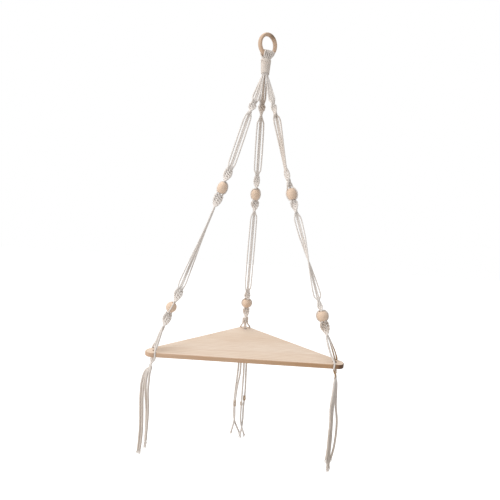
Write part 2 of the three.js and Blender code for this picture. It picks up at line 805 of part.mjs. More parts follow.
// The bundle's twelve upper ends, shared out: the six nearest the ring's front face to the front
// legs of the loops and the rest to the back legs. Each six is set in the order in which its
// directions turn, as seen from a point on its own side of the ring.
function loopEnds() {
  const ends = legCords.map(({ points }) => points[0].place.clone().setZ(wrapTop + faceGap));
  ends.sort((a, b) => b.dot(ringFacing) - a.dot(ringFacing));
  return [ends.slice(0, loopCount), ends.slice(loopCount)].map((six, i) => {
    const towards = i ? -1 : 1;
    const sight = (end) => {
      return Math.atan2(end.dot(ringTangent), sightFromRing - towards * end.dot(ringFacing));
    };
    six.sort((a, b) => sight(a) - sight(b));
    return six.map((end) => end.clone().add(suspension.position));
  });
}

const [frontEnds, backEnds] = loopEnds();
for (let i = 0; i < loopCount; i++) {
  const points = loopPoints(i, frontEnds[i], backEnds[i]);
  addMesh(shelf, `ring_loop_${i + 1}`, ropeSolid(points, knotSides), cotton);
}

// Tails, in the order they hang from the first notch to the second. Each has its length, as a share
// of the usual one, how far it strays along X on the way down, at even steps, and how far its foot
// hangs further back than its top, the last two as shares of the usual length.
const tailPlans = {
  left: {
    usualLength: frontTailLength,
    lengthShares: [0.84, 0.89, 0.96, 0.98],
    asideShares: [
      [-0.015, -0.02, -0.01, -0.01, -0.015, -0.02],
      [-0.04, -0.04, -0.025, -0.02, -0.02, -0.02],
      [-0.055, -0.065, -0.06, -0.055, -0.06, -0.075],
      [-0.075, -0.085, -0.08, -0.075, -0.08, -0.09],
    ],
    backShares: [0, 0, 0, 0],
  },
  right: {
    usualLength: frontTailLength,
    lengthShares: [0.92, 1.03, 1.02, 0.94],
    asideShares: [
      [-0.005, -0.015, -0.005, -0.005, -0.005, -0.015],
      [0, -0.005, 0.005, 0.005, 0.005, 0.01],
      [0.01, 0.005, 0.01, 0.015, 0.015, 0.02],
      [0.02, 0.03, 0.055, 0.06, 0.05, 0.02],
    ],
    backShares: [0, 0, 0, 0],
  },
  back: {
    usualLength: backTailLength,
    lengthShares: [1.03, 1, 0.99, 1.01],
    asideShares: [
      [0.015, 0.02, 0.025, 0.02, 0.02, 0],
      [0.005, 0.01, 0.01, 0.01, 0.015, 0.07],
      [-0.01, -0.01, -0.03, -0.04, -0.035, -0.065],
      [-0.015, -0.02, -0.03, -0.035, -0.02, 0.055],
    ],
    backShares: [0, -0.02, 0, 0.03],
  },
};

const tailRadius = tailDiameter / 2;

function tailGeometry(end, plan, number) {
  const route = [faceGap, faceGap + tailDiameter].map((drop) => vector(end.x, end.y, end.z - drop));
  const length = plan.lengthShares[number] * plan.usualLength;
  const steps = plan.asideShares[number].length;
  for (let i = 0; i < steps; i++) {
    const share = (i + 1) / steps;
    const aside = plan.asideShares[number][i] * plan.usualLength;
    const back = plan.backShares[number] * plan.usualLength * share;
    route.push(vector(end.x + aside, end.y + back, end.z - faceGap - length * share));
  }
  const section = new THREE.Shape();
  for (let k = 0; k < tailSides; k++) {
    const angle = (turn * k) / tailSides;
    const point = [tailRadius * Math.cos(angle), tailRadius * Math.sin(angle)];
    if (k) section.lineTo(...point);
    else section.moveTo(...point);
  }
  const extrudePath = new THREE.CatmullRomCurve3(route);
  return new THREE.ExtrudeGeometry(section, { steps: tailSteps, extrudePath });
}

// The order in which a corner's tails hang side by side, from its first notch to its second.
const tailOrder = [
  { kind: "working", slot: 0 },
  { kind: "filler", slot: 0 },
  { kind: "filler", slot: 1 },
  { kind: "working", slot: 1 },
];
for (const corner of cornerOrder) {
  tailOrder.forEach(({ kind, slot }, number) => {
    const ofCorner = legCords.filter((cord) => cord.corner === corner && cord.kind === kind);
    const { points } = ofCorner.find((cord) => cord.slot === slot);
    const end = points[points.length - 1].place;
    const name = `${corner}_tail_${number + 1}`;
    addMesh(suspension, name, tailGeometry(end, tailPlans[corner], number), cotton);
  });
}

export default shelf;
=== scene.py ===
# A macramé corner shelf: a wooden ring, six cords folded over it and bound by a wrapping cord,
# three knotted legs with beads, a triangular board and the loose cord ends under it.
# Lengths here are in millimetres; a mesh is turned into metres when it is made.
import math

import bpy
import numpy as np
from mathutils import Matrix, Vector
from mathutils.geometry import tessellate_polygon


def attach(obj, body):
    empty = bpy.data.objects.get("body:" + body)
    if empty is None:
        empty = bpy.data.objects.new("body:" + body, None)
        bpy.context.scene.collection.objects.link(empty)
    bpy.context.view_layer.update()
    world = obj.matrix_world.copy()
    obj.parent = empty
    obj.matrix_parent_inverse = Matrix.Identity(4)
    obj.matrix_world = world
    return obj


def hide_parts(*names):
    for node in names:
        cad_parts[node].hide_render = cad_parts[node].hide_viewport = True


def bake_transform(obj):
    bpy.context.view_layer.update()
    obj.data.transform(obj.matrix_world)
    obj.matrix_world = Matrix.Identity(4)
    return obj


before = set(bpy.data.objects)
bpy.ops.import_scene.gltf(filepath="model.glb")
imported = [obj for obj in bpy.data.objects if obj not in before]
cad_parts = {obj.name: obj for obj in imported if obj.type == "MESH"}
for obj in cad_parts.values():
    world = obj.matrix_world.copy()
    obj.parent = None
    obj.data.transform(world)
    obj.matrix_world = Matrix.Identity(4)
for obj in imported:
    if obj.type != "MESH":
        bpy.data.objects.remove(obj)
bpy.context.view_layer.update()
print("frame loaded:", len(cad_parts), "nodes")

metres = 0.001
corners = ["left", "right", "back"]


def unit(v):
    v = np.asarray(v, float)
    return v / np.linalg.norm(v, axis=-1, keepdims=True)


def addObject(name, data):
    made = bpy.data.objects.new(name, data)
    bpy.context.scene.collection.objects.link(made)
    return made


# Camera: a wide lens close in front of the shelf, rolled a little. Its clip is in metres.
camera = dict(
    lens=26.35, sensor=36.0, place=(-24.668, -846.81, -393.571), yaw=0.020671, pitch=-0.094465,
    roll=0.072828, clip=(0.01, 100.0),
)


def makeCamera(c):
    data = bpy.data.cameras.new("photoCamera")
    data.lens = c["lens"]
    data.sensor_width = c["sensor"]
    data.clip_start, data.clip_end = c["clip"]
    pose = Matrix.Translation(Vector(c["place"]) * metres)
    for angle, axis in (-c["yaw"], "Z"), (math.pi / 2 + c["pitch"], "X"), (c["roll"], "Z"):
        pose = pose @ Matrix.Rotation(angle, 4, axis)
    bpy.context.scene.camera = addObject("photoCamera", data)
    bpy.context.scene.camera.matrix_world = pose


makeCamera(camera)

# The shelf's measures. Board, knots and routes are those of the CAD, and the cords are as thick
# as they look. The ring's dark patch is painted shade on its outside at the upper right, with its
# place and spread in degrees.
ring = dict(
    outer=48.5, thick=7.4, wide=11.0, turn=34.0, lean=6.0, blunt=2.3, around=144, section=40,
    paintedShadeSpot=dict(place=68.0, spread=22.0, most=1.3, base=0.9, outwards=0.5),
)
board = dict(
    length=440.0, thick=9.5, cornerRadius=16.0, edgeRound=1.1, leastMiter=0.7, belowWrap=624.9,
    inFront=82.05, aside=0.09, hole=8.0, notchWide=5.0, notchDeep=4.8, notchEntry=0.9,
    cordInNotch=2.4, halfAngle=dict(left=22.5, right=22.5, back=45.0),
    holeFromCorner=dict(left=46.0, right=46.0, back=28.5),
    notchFromCorner=dict(left=47.0, right=47.0, back=20.0),
    steps=dict(edge=6, entry=5, notch=14, corner=26, hole=40),
)
cord = dict(
    thick=3.0, full=3.6, lower=3.3, aboveKnots=4.3, inKnot=3.6, coreInKnot=3.3, inNotch=4.4,
    gap=0.4, faceGap=0.3, layLength=9.5, swellAt=(0.3, 0.75),
)
wrap = dict(turns=8, pitch=3.5, belowRing=7.6, bundleInner=1.9, bundleOuter=6.0, spread=40.0)

turnAngle, leanAngle = math.radians(ring["turn"]), math.radians(ring["lean"])
ringFacing = np.array([math.sin(turnAngle), -math.cos(turnAngle), 0.0])
ringTangent = np.array([math.cos(turnAngle), math.sin(turnAngle), 0.0])
ringUp = math.sin(leanAngle) * ringFacing + np.array([0, 0, math.cos(leanAngle)])
ringAxis = -np.cross(ringUp, ringTangent)
eyeRadius = ring["outer"] / 2 - ring["thick"]
tubeRadius = eyeRadius + ring["thick"] / 2
ringCentre = -eyeRadius * ringUp
ringFoot = ringCentre - tubeRadius * ringUp
plumb = np.array([ringFoot[0], ringFoot[1], 0.0])
wrapTop = ringFoot[2] - ring["thick"] / 2 - wrap["belowRing"]
wrapBottom = wrapTop - wrap["turns"] * wrap["pitch"] - cord["thick"]
boardTop = wrapBottom - board["belowWrap"]
boardBottom = boardTop - board["thick"]

# The board's plan, in coordinates from the plumb line
earAngle = math.radians(board["halfAngle"]["left"])
halfLength = board["length"] / 2 + board["cornerRadius"] * (1 / math.tan(earAngle) - 1)
sharp = dict(
    left=np.array([board["aside"] - halfLength, -board["inFront"]]),
    right=np.array([board["aside"] + halfLength, -board["inFront"]]),
    back=np.array([board["aside"], halfLength - board["inFront"]]),
)


def edgeWay(a, b):
    return unit(sharp[b] - sharp[a])


def holeCentre(corner):
    others = [c for c in corners if c != corner]
    inward = unit(edgeWay(corner, others[0]) + edgeWay(corner, others[1]))
    return sharp[corner] + inward * board["holeFromCorner"][corner]


def notchPlace(corner, towards):
    along = edgeWay(corner, towards)
    third = [c for c in corners if c not in (corner, towards)][0]
    inward = sharp[third] - sharp[corner]
    inward = unit(inward - along * inward.dot(along))
    return sharp[corner] + along * board["notchFromCorner"][corner] + inward * board["cordInNotch"]


# Knots and beads. For each knotted stretch, faces is the way it looks at its start and twists what
# each half-knot turns, in degrees, sways how far it hangs aside, in half ribbons, and widths its
# widths at even steps, in shares of a loosely tied one's. turns are what the ribbon above turns
# beyond the least, leans a knot's own sway beside its bead's, and raised lifts the first knot.
# swollen and strays are how thick the cords grow and how far they stray to the right between the
# last knot and the first notch, the second notch and the hole.
knot = dict(
    pitch=5.4, firstBelowWrap=72.0, ribbonHalf=7.1, ribbonRun=9.0, lastGap=5.0, aboveBead=2.6,
    belowBead=4.6, underDrop=8.0, underCount=2, underWidths=(0.7, 0.4, 0.45),
    ribbonShares=(0.25, 0.5, 0.75, 1), ribbonLate=2.2, hangRun=4.0, core=0.279,
)
halfKnot = dict(
    lead=(-1.48, 0.42, 0.1), centre=(0, 0.652, 0), under=(-1.388, 0.119, -0.169),
    outer=(-1.671, 0.56, 0.033), over=(-1.117, 0.935, 1.173), dive=(-0.683, -0.425, 1.575),
    leave=(-1.45, 0.15, 1.1),
)
beads = dict(
    upper=dict(wide=20.8, long=28.0, bore=8.4, rim=0.9),
    lower=dict(wide=23.6, long=24.0, bore=8.4, rim=0.9),
)
beadLatitudes = (-52, -26, 0, 26, 52)
legPlans = dict(
    left=dict(
        faces=[0, 180, 0, 0, 0], twists=[34, 20, 18, 22, 20], turns={}, counts=[5, 5, 5, 5, 5],
        widths=[
            (0.7, 0.75, 0.35, 0.65, 0.75),
            (0.7, 0.95, 0.6),
            (0.9, 0.9, 0.5),
            (0.75, 0.95, 0.6),
            (0.7, 0.95, 0.55),
        ],
        sways=[0, 0.73, 0.73, -0.18, -0.18], leans={3: 0.45}, topRibbon=1.0,
        swollen=(5.2, 5.2, 5.2), strays=(0.3, 1.2, -2.4),
        beadShares=dict(upper=0.4334, lower=0.8924),
        beadSides=dict(upper=[[335, 335], [205, 205]], lower=[[72, 92], [262, 298]]),
        underLean=18, towards=["right", "back"],
    ),
    right=dict(
        faces=[0, 262, 10, 10, 10], twists=[36, 18, 32, 24, 22], turns={3: 180},
        counts=[5, 5, 5, 3, 5],
        widths=[
            (0.6, 0.45, 0.3, 0.7, 0.75),
            (0.75, 0.95, 0.8),
            (0.75, 0.65, 0.45),
            (0.3, 0.6),
            (0.9, 0.9, 0.5),
        ],
        sways=[0.28, -0.7, -0.7, -0.39, -0.39], leans={}, topRibbon=0.78, swollen=(4.8, 3.0, 2.8),
        strays=(-2.4, 2.2, 1.6), beadShares=dict(upper=0.437, lower=0.8858),
        beadSides=dict(upper=[[10, 10], [205, 205]], lower=[[0, 0], [208, 208]]), underLean=12,
        towards=["left", "back"],
    ),
    back=dict(
        faces=[0, 180, 0, 0, 0, 0], twists=[34, 22, 32, 22, 24, 0], turns={},
        counts=[5, 5, 5, 3, 5, 2],
        widths=[
            (0.75, 0.6, 0.3, 0.3, 0.45),
            (0.5, 0.7, 0.6),
            (0.9, 0.8, 0.4),
            (0.6, 0.75),
            (0.8, 0.7, 0.4),
            (0.75, 0.75),
        ],
        sways=[-0.21, 0, 0, -0.16, -0.16, -0.16], leans={}, raised=6.0, topRibbon=0.9,
        swollen=(4.2, 4.2, 4.0), strays=(0, 0, 0), beadShares=dict(upper=0.4297, lower=0.8983),
        beadSides=dict(upper=[[340, 340], [200, 200]], lower=[[350, 350], [190, 190]]),
        underLean=10, towards=["right", "left"],
    ),
)
beadAfter = {1: "upper", 3: "lower"}

# The twelve tails. In shares of the usual length, across is how far a tail strays at even steps
# on the way down, and back how much further back its foot hangs than its top. soon is how much of
# its first stray and drop a tail makes at once. full says how thick a tail is at the top and from
# its middle on, and tan how much painted shade it has there. knots are small knots in the back
# tails: their share of the way down, half their length and their painted shade.
tails = dict(
    thick=3.6, full=(5.2, 5.3), soon=(0.6, 0.4), mostRun=45.0,
    tan=dict(left=(0.08, 0.24), right=(0.0, 0.3), back=(0.55, 0.05)),
    knots=dict(
        back_tail_1=(0.6, 6.5, 0.9), back_tail_2=(0.67, 4.5, 0.4), back_tail_3=(0.69, 8.0, 0.6),
    ),
    left=dict(
        usual=220.0, lengths=[0.84, 0.89, 0.96, 0.98],
        across=[
            [-0.015, -0.02, -0.01, -0.01, -0.015, -0.02],
            [-0.04, -0.04, -0.025, -0.02, -0.02, -0.02],
            [-0.055, -0.065, -0.06, -0.055, -0.06, -0.075],
            [-0.075, -0.085, -0.08, -0.075, -0.08, -0.09],
        ],
        back=[0, 0, 0, 0],
    ),
    right=dict(
        usual=220.0, lengths=[0.92, 1.03, 1.02, 0.94],
        across=[
            [-0.005, -0.015, -0.005, -0.005, -0.005, -0.015],
            [0, -0.005, 0.005, 0.005, 0.005, 0.01],
            [0.01, 0.005, 0.01, 0.015, 0.015, 0.02],
            [0.02, 0.03, 0.055, 0.06, 0.05, 0.02],
        ],
        back=[0, 0, 0, 0],
    ),
    back=dict(
        usual=280.0, lengths=[1.03, 1, 0.99, 1.01],
        across=[
            [0.015, 0.02, 0.025, 0.02, 0.02, 0],
            [0.005, 0.01, 0.01, 0.01, 0.015, 0.07],
            [-0.01, -0.01, -0.03, -0.04, -0.035, -0.065],
            [-0.015, -0.02, -0.03, -0.035, -0.02, 0.055],
        ],
        back=[0, -0.02, 0, 0.03],
    ),
)

bundle = dict(
    left=dict(way=210, working=[(1, 1), (1, -1)], core=[(0, 0), (1, 0)]),
    right=dict(way=330, working=[(1, 1), (1, -1)], core=[(1, 0), (0, 0)]),
    back=dict(way=90, working=[(1, -1), (1, 1)], core=[(0, 0), (1, 0)]),
)


def legFrame(corner):
    hole = holeCentre(corner)
    origin = np.array([0, 0, wrapBottom])
    down = unit(np.append(hole, boardTop) - origin)
    right = unit([1, 0, 0] - down * down[0])
    return origin, right, np.cross(down, right), down


def underFrame(corner):
    hole = holeCentre(corner)
    outward = unit(sharp[corner] - hole)
    lean = math.radians(legPlans[corner]["underLean"])
    down = np.append(outward * math.sin(lean), -math.cos(lean))
    first, second = [notchPlace(corner, t) for t in legPlans[corner]["towards"]]
    right = np.append(unit(first - second), 0.0)
    return np.append(hole, boardBottom), right, np.cross(down, right), down


def placeIn(axes, across, out, down):
    return axes[0] + axes[1] * across + axes[2] * out + axes[3] * down


def directionIn(axes, way):
    return math.degrees(math.atan2(way.dot(axes[2]), way.dot(axes[1])))


def nearest(degrees, other, step):
    return degrees + step * math.floor((other - degrees) / step + 0.5)


def isNear(degrees, other):
    return abs(nearest(degrees, other, 360) - other) <= 90


def beadStation(corner, name):
    return legPlans[corner]["beadShares"][name] * board["belowWrap"]


def followLeg(corner):
    plan, axes = legPlans[corner], legFrame(corner)
    runs = [count * knot["pitch"] for count in plan["counts"]]
    starts = [knot["firstBelowWrap"] - plan.get("raised", 0)]
    for name, bead in beads.items():
        station, half = beadStation(corner, name), bead["long"] / 2
        starts.append(station - half - knot["aboveBead"] - runs[len(starts)])
        starts.append(station + half + knot["belowBead"])
    starts.append(starts[-1] + runs[len(starts) - 1] + knot["lastGap"])
    direction, ribbonTop, steps = 0.0, 0.0, []
    for i, count in enumerate(plan["counts"]):
        start, twist, bead = starts[i], plan["twists"][i], beadAfter.get(i)
        face = nearest(plan["faces"][i], direction, 180) + plan["turns"].get(i, 0)
        sway = plan["sways"][i] * knot["ribbonHalf"]
        step = dict(
            face=face, twist=twist, count=count, widths=plan["widths"][i], before=direction,
            start=start, end=start + runs[i], bead=bead, followsBead=i - 1 in beadAfter,
            sway=sway, knotSway=sway + plan["leans"].get(i, 0) * knot["ribbonHalf"],
            ribbonTop=ribbonTop, ribbonEnd=start - knot["pitch"] - knot["ribbonRun"],
        )
        direction = step["after"] = face + twist * count + (count % 2) * 180
        ribbonTop = step["end"] + knot["ribbonRun"]
        if bead:
            sides = plan["beadSides"][bead]
            step["sides"] = sides if isNear(sides[0][0], direction) else sides[::-1]
            step["station"] = beadStation(corner, bead)
            direction = nearest(step["sides"][0][1], direction, 360)
        steps.append(step)
    swaps = not isNear(directionIn(axes, underFrame(corner)[1]), direction)
    return axes, steps, swaps


# Where the ribbon above a knotted stretch is held, as (degrees turned since its top, down, sway):
# at its end, and at ribbonShares of it where it turns a quarter or more. A quarter turn comes
# late, with the share raised to ribbonLate.
def ribbonStops(step, swayAbove):
    if step["followsBead"] or step["ribbonEnd"] <= step["ribbonTop"]:
        return []
    turned = step["face"] - step["before"]
    shares = np.array(knot["ribbonShares"] if abs(turned) >= 90 else [1])
    downs = step["ribbonTop"] + (step["ribbonEnd"] - step["ribbonTop"]) * shares
    sways = swayAbove + (step["knotSway"] - swayAbove) * shares
    late = knot["ribbonLate"] if abs(turned) <= 90 else 1
    return list(zip(turned * shares**late, downs, sways))


# Half knots in a row: each repeats halfKnot's places one pitch further down, turned by the twist.
# The two cords mirror each other, and change sides at every half knot.
def sinnetStops(index, count, face, twist, widths):
    names = [("lead", -1), ("over", -1), ("dive", -1)]
    for k in range(count - 1):
        names += [(n, k) for n in ("centre", "under", "outer", "over", "dive")]
    names += [(n, count - 1) for n in ("centre", "under", "outer", "leave")]
    evenly, stops = np.linspace(0, 1, len(widths)), []
    for name, k in names:
        across, out, down = (s * knot["pitch"] for s in halfKnot[name])
        down += k * knot["pitch"]
        half = np.interp(down / knot["pitch"] / count, evenly, widths)
        half *= -1 if (k + index) % 2 else 1
        across, out = half * across, half * out
        a = math.radians(face + twist * down / knot["pitch"])
        x, y = across * math.cos(a) - out * math.sin(a), across * math.sin(a) + out * math.cos(a)
        stops.append((x, y, down, cord["full"] if name in ("lead", "leave") else cord["inKnot"]))
    return stops


def bundleStops(corner, kind, index):
    outer, step = bundle[corner][kind][index]
    radius = wrap["bundleOuter"] if outer else wrap["bundleInner"]
    a = math.radians(bundle[corner]["way"] + step * wrap["spread"])
    x, y = radius * math.cos(a), radius * math.sin(a)
    return [(np.array([x, y, z]), cord["thick"]) for z in (wrapTop, wrapBottom)]


def besideBead(bead, degrees):
    wide, long, a = bead["wide"] / 2, bead["long"] / 2, math.radians(degrees)
    skin = np.array([wide * math.cos(a), long * math.sin(a)])
    skin += unit(skin / np.array([wide**2, long**2])) * cord["full"] / 2
    return skin


def hangingStops(corner, kind, slot):
    spacing = tails["thick"] + cord["gap"]
    across = (1.5 if kind == "working" else 0.5) * spacing * (-1 if slot else 1)
    drop = knot["underDrop"] + knot["underCount"] * knot["pitch"] + knot["hangRun"]
    place = placeIn(underFrame(corner), across, 0, drop)
    return [(place, cord["thick"]), (place - [0, 0, cord["thick"]], cord["thick"])]


def stopRound(axes, distance, degrees, down, sway, thick):
    a = math.radians(degrees)
    return placeIn(axes, distance * math.cos(a) + sway, distance * math.sin(a), down), thick


def swollen(corner, way, above, below):
    aside = np.array([legPlans[corner]["strays"][way], 0, 0])
    thick = legPlans[corner]["swollen"][way]
    return [(above + (below - above) * share + aside, thick) for share in cord["swellAt"]]


def thickAt(down):
    if down < knot["firstBelowWrap"]:
        return cord["aboveKnots"]
    return cord["full"] if down < board["belowWrap"] / 2 else cord["lower"]


# A leg's knotting cord: out of the wrapping, down the ribbons and the knots, past the beads, over
# a notch, and through the knot under the board. It comes with its place in the row of tails.
def workingStops(corner, index):
    plan = legPlans[corner]
    axes, steps, swaps = followLeg(corner)
    stops = bundleStops(corner, "working", index)

    def add(distance, degrees, down, sway):
        stops.append(stopRound(axes, distance, degrees, down, sway, thickAt(down)))

    swayAbove = 0.0
    for step in steps:
        half = knot["ribbonHalf"] * (plan["topRibbon"] if step is steps[0] else 1)
        for degrees, down, sway in ribbonStops(step, swayAbove):
            add(half, step["before"] + degrees + index * 180, down, sway)
        swayAbove = sway = step["knotSway"]
        tied = sinnetStops(index, step["count"], step["face"], step["twist"], step["widths"])
        for across, out, down, thick in tied:
            stops.append((placeIn(axes, across + sway, out, step["start"] + down), thick))
        if step["bead"]:
            enters, leaves = step["sides"][index]
            for share, latitude in zip(np.linspace(0, 1, len(beadLatitudes)), beadLatitudes):
                out, down = besideBead(beads[step["bead"]], latitude)
                add(out, enters + (leaves - enters) * share, step["station"] + down, step["sway"])
        elif step["end"] < beadStation(corner, "lower"):
            down = step["end"] + knot["ribbonRun"]
            add(knot["ribbonHalf"], step["after"] + index * 180, down, sway)
    slot = 1 - index if swaps else index
    notch = notchPlace(corner, plan["towards"][slot])
    levels = boardTop + cord["thick"], boardBottom - cord["thick"] / 2
    inNotch = [np.append(notch, z) for z in levels]
    stops += swollen(corner, slot, stops[-1][0], inNotch[0])
    stops += [(place, cord["inNotch"]) for place in inNotch]
    under = underFrame(corner)
    tied = sinnetStops(slot, knot["underCount"], 0, 0, knot["underWidths"])
    for across, out, down, thick in tied:
        stops.append((placeIn(under, across, out, knot["underDrop"] + down), thick))
    return stops + hangingStops(corner, "working", slot), slot


# A leg's core cord: straight through the knots and the beads, through the board's hole, and
# through the knot under it. The two core cords lie side by side and turn with the knots.
def coreStops(corner, index):
    axes, steps, _ = followLeg(corner)
    stops = bundleStops(corner, "core", index)
    apart, inKnot = cord["thick"] / 2 + cord["gap"] / 2, knot["core"] * knot["pitch"]

    def add(distance, degrees, down, sway, thick):
        stops.append(stopRound(axes, distance, degrees, down, sway, thick))

    direction, swayAbove = index * 180, 0.0
    for step in steps:
        for degrees, down, sway in ribbonStops(step, swayAbove):
            add(apart, direction + degrees, down, sway, thickAt(down))
        swayAbove = sway = step["knotSway"]
        if step["followsBead"]:
            direction = nearest(step["face"], direction, 180)
        else:
            direction += step["face"] - step["before"]
        for k in range(0, step["count"] + 1, 2):
            down = step["start"] + k * knot["pitch"]
            add(inKnot, direction + step["twist"] * k, down, sway, cord["coreInKnot"])
        direction += step["twist"] * step["count"]
        if step["bead"]:
            add(apart, direction, step["station"], step["sway"], cord["thick"])
        elif step["end"] < beadStation(corner, "lower"):
            thick = cord["full"] if step is steps[0] else cord["lower"]
            add(apart, direction, step["end"] + knot["ribbonRun"], sway, thick)
    under = underFrame(corner)
    slot = 0 if isNear(directionIn(axes, under[1]), direction) else 1
    side = -1 if slot else 1
    hole = (under[0] + under[1] * side * apart)[:2]
    inHole = [np.append(hole, z) for z in (boardTop + cord["thick"], boardBottom)]
    stops += swollen(corner, 2, stops[-1][0], inHole[0])
    stops += [(place, cord["thick"]) for place in inHole]
    for pitches in (-0.5, knot["underCount"] - 0.5):
        down = knot["underDrop"] + knot["pitch"] * pitches
        stops.append((placeIn(under, side * inKnot, 0, down), cord["coreInKnot"]))
    return stops + hangingStops(corner, "core", slot), slot


# Surfaces. A mesh is made from an array of points and groups of faces with equal sides each.
# values are named numbers for its points, or for its faces' corners.
def makeMesh(name, points, groups, material, uv=None, values=None, flatGroups=()):
    flat = np.concatenate([g.ravel() for g in groups])
    sizes = np.concatenate([np.full(len(g), g.shape[1]) for g in groups])
    smooth = np.concatenate([np.full(len(g), i not in flatGroups) for i, g in enumerate(groups)])
    mesh = bpy.data.meshes.new(name)
    mesh.vertices.add(len(points))
    mesh.vertices.foreach_set("co", (np.asarray(points) * metres).ravel().astype(np.float32))
    mesh.loops.add(len(flat))
    mesh.loops.foreach_set("vertex_index", flat.astype(np.int32))
    mesh.polygons.add(len(sizes))
    mesh.polygons.foreach_set("loop_start", (np.cumsum(sizes) - sizes).astype(np.int32))
    mesh.polygons.foreach_set("use_smooth", smooth)
    mesh.update(calc_edges=True)
    if uv is not None:
        mesh.uv_layers.new(name="lay").data.foreach_set("uv", uv.astype(np.float32).ravel())
    for title, numbers in (values or {}).items():
        domain = "POINT" if len(numbers) == len(points) else "CORNER"
        attribute = mesh.attributes.new(title, "FLOAT", domain)
        attribute.data.foreach_set("value", numbers.astype(np.float32))
    mesh.materials.append(material)
    return addObject(name, mesh)


# Faces of a grid of rows by columns. Each row closes on itself, and in a grid that isn't open the
# last row joins the first.
def gridFaces(rows, columns, isOpen=False):
    i, j = np.meshgrid(np.arange(rows - isOpen), np.arange(columns), indexing="ij")
    row, nextRow, nextJ = i * columns, (i + 1) % rows * columns, (j + 1) % columns
    return np.stack([row + j, row + nextJ, nextRow + nextJ, nextRow + j], -1).reshape(-1, 4)


# Even angles round a circle, and the directions at angles from side towards up
def circle(count):
    return np.arange(count) / count * 2 * math.pi


def spokesAt(angle, side, up):
    return np.cos(angle)[..., None] * side + np.sin(angle)[..., None] * up


# Two directions square to way and to each other, and the first to aside too
def squareTo(way, aside):
    first = unit(np.cross(way, aside))
    return first, np.cross(way, first)


# Twisted cord: three strands laid together. The section is three arcs of radius strand round
# centres at out, in shares of the cord's radius, and turns once in every lay length. Its path has
# a point in every step, and uvLength of it makes one unit of the pattern. The grooves between the
# strands get painted shade, with a share of it on the end caps too.
rope = dict(
    strands=3, out=0.12, strand=0.88, sides=18, step=0.8, perStep=2, leastPoints=4, mostRun=14.0,
    uvLength=10.0, capUv=(0.5, 0.0), capGrooveShade=0.4,
)


# A smooth even path through stops: each span is a Hermite curve, its ends pointing halfway
# between the spans before and after, with a reach of at most mostRun. Thickness goes along. It is
# drawn with perStep points a step, leastPoints a span, and then spaced evenly.
def smoothPath(stops, mostRun=rope["mostRun"]):
    places, thick = (np.array(part) for part in zip(*stops))
    spans = np.diff(places, axis=0)
    lengths = np.linalg.norm(spans, axis=1)
    ways = spans / lengths[:, None]
    inner = ways[:-1] * lengths[1:, None] + ways[1:] * lengths[:-1, None]
    tangents = unit(np.concatenate([ways[:1], inner, ways[-1:]]))
    reach = np.minimum(lengths, mostRun)
    counts = np.ceil(lengths / rope["step"] * rope["perStep"])
    counts = np.maximum(counts, rope["leastPoints"]).astype(int)
    at = np.repeat(np.arange(len(lengths)), counts)
    t = (np.arange(len(at)) - np.repeat(np.cumsum(counts) - counts, counts)) / counts[at]
    t2, t3 = t**2, t**3
    share = 3 * t2 - 2 * t3
    path = (1 - share)[:, None] * places[at] + share[:, None] * places[at + 1]
    path += ((t3 - 2 * t2 + t) * reach[at])[:, None] * tangents[at]
    path += ((t3 - t2) * reach[at])[:, None] * tangents[at + 1]
    width = thick[at] + (thick[at + 1] - thick[at]) * share
    return evenPath(np.vstack([path, places[-1]]), np.append(width, thick[-1]))


def evenPath(path, width):
    along = np.concatenate([[0], np.cumsum(np.linalg.norm(np.diff(path, axis=0), axis=1))])
    even = np.linspace(0, along[-1], max(int(round(along[-1] / rope["step"])), 2) + 1)
    path = np.stack([np.interp(even, along, path[:, i]) for i in range(3)], axis=1)
    return path, np.interp(even, along, width), even


# Frames carried along a path with as little turning as can be: the turn from each tangent to the
# next is a matrix, and their running product is found by doubling.
def carriedFrames(path):
    tangents = unit(np.gradient(path, axis=0))
    a, b = tangents[:-1], tangents[1:]
    v, c = np.cross(a, b), (a * b).sum(axis=1)
    skew = np.cross(np.eye(3), v[:, None])
    turns = np.eye(3) + skew + skew @ skew / (1 + c)[:, None, None]
    carried = np.concatenate([np.eye(3)[None], turns])
    shift = 1
    while shift < len(carried):
        carried = np.concatenate([carried[:shift], carried[shift:] @ carried[:-shift]])
        shift *= 2
    helper = np.eye(3)[np.argmin(np.abs(tangents[0]))]
    sides = unit(carried @ unit(np.cross(helper, tangents[0])))
    return sides, np.cross(tangents, sides)


def ropeSurface(path, width, along, phase, layLength):
    sides, n = rope["sides"], len(path)
    side, up = carriedFrames(path)
    around = np.arange(sides) / sides
    lobe = ((around * rope["strands"]) % 1 - 0.5) * 2 * math.pi / rope["strands"]
    profile = rope["out"] * np.cos(lobe)
    profile += np.sqrt(rope["strand"] ** 2 - (rope["out"] * np.sin(lobe)) ** 2)
    angle = 2 * math.pi * (around + along[:, None] / layLength) + phase
    radius = width[:, None] / 2 * profile
    points = path[:, None] + radius[..., None] * spokesAt(angle, side[:, None], up[:, None])
    points = np.concatenate([points.reshape(-1, 3), path[:1], path[-1:]])
    j = np.arange(sides)
    k, foot = (j + 1) % sides, (n - 1) * sides
    first = np.stack([np.full(sides, n * sides), k, j], -1)
    last = np.stack([np.full(sides, n * sides + 1), foot + j, foot + k], -1)
    v, uv = along / rope["uvLength"], np.empty((n - 1, sides, 4, 2))
    uv[..., 0], uv[..., 1] = around[None, :, None], v[:-1, None, None]
    uv[:, :, 1:3, 0] += 1 / sides
    uv[:, :, 2:, 1] = v[1:, None, None]
    uv = np.concatenate([uv.reshape(-1, 2), np.tile(rope["capUv"], (sides * 6, 1))])
    # Painted shade in the grooves: one in the deepest groove, nought on a strand's crown
    grooveShade = np.tile((1 - profile) / (1 - profile.min()), n)
    grooveShade = np.append(grooveShade, [rope["capGrooveShade"]] * 2)
    return points, (gridFaces(n, sides, isOpen=True), first, last), uv, grooveShade
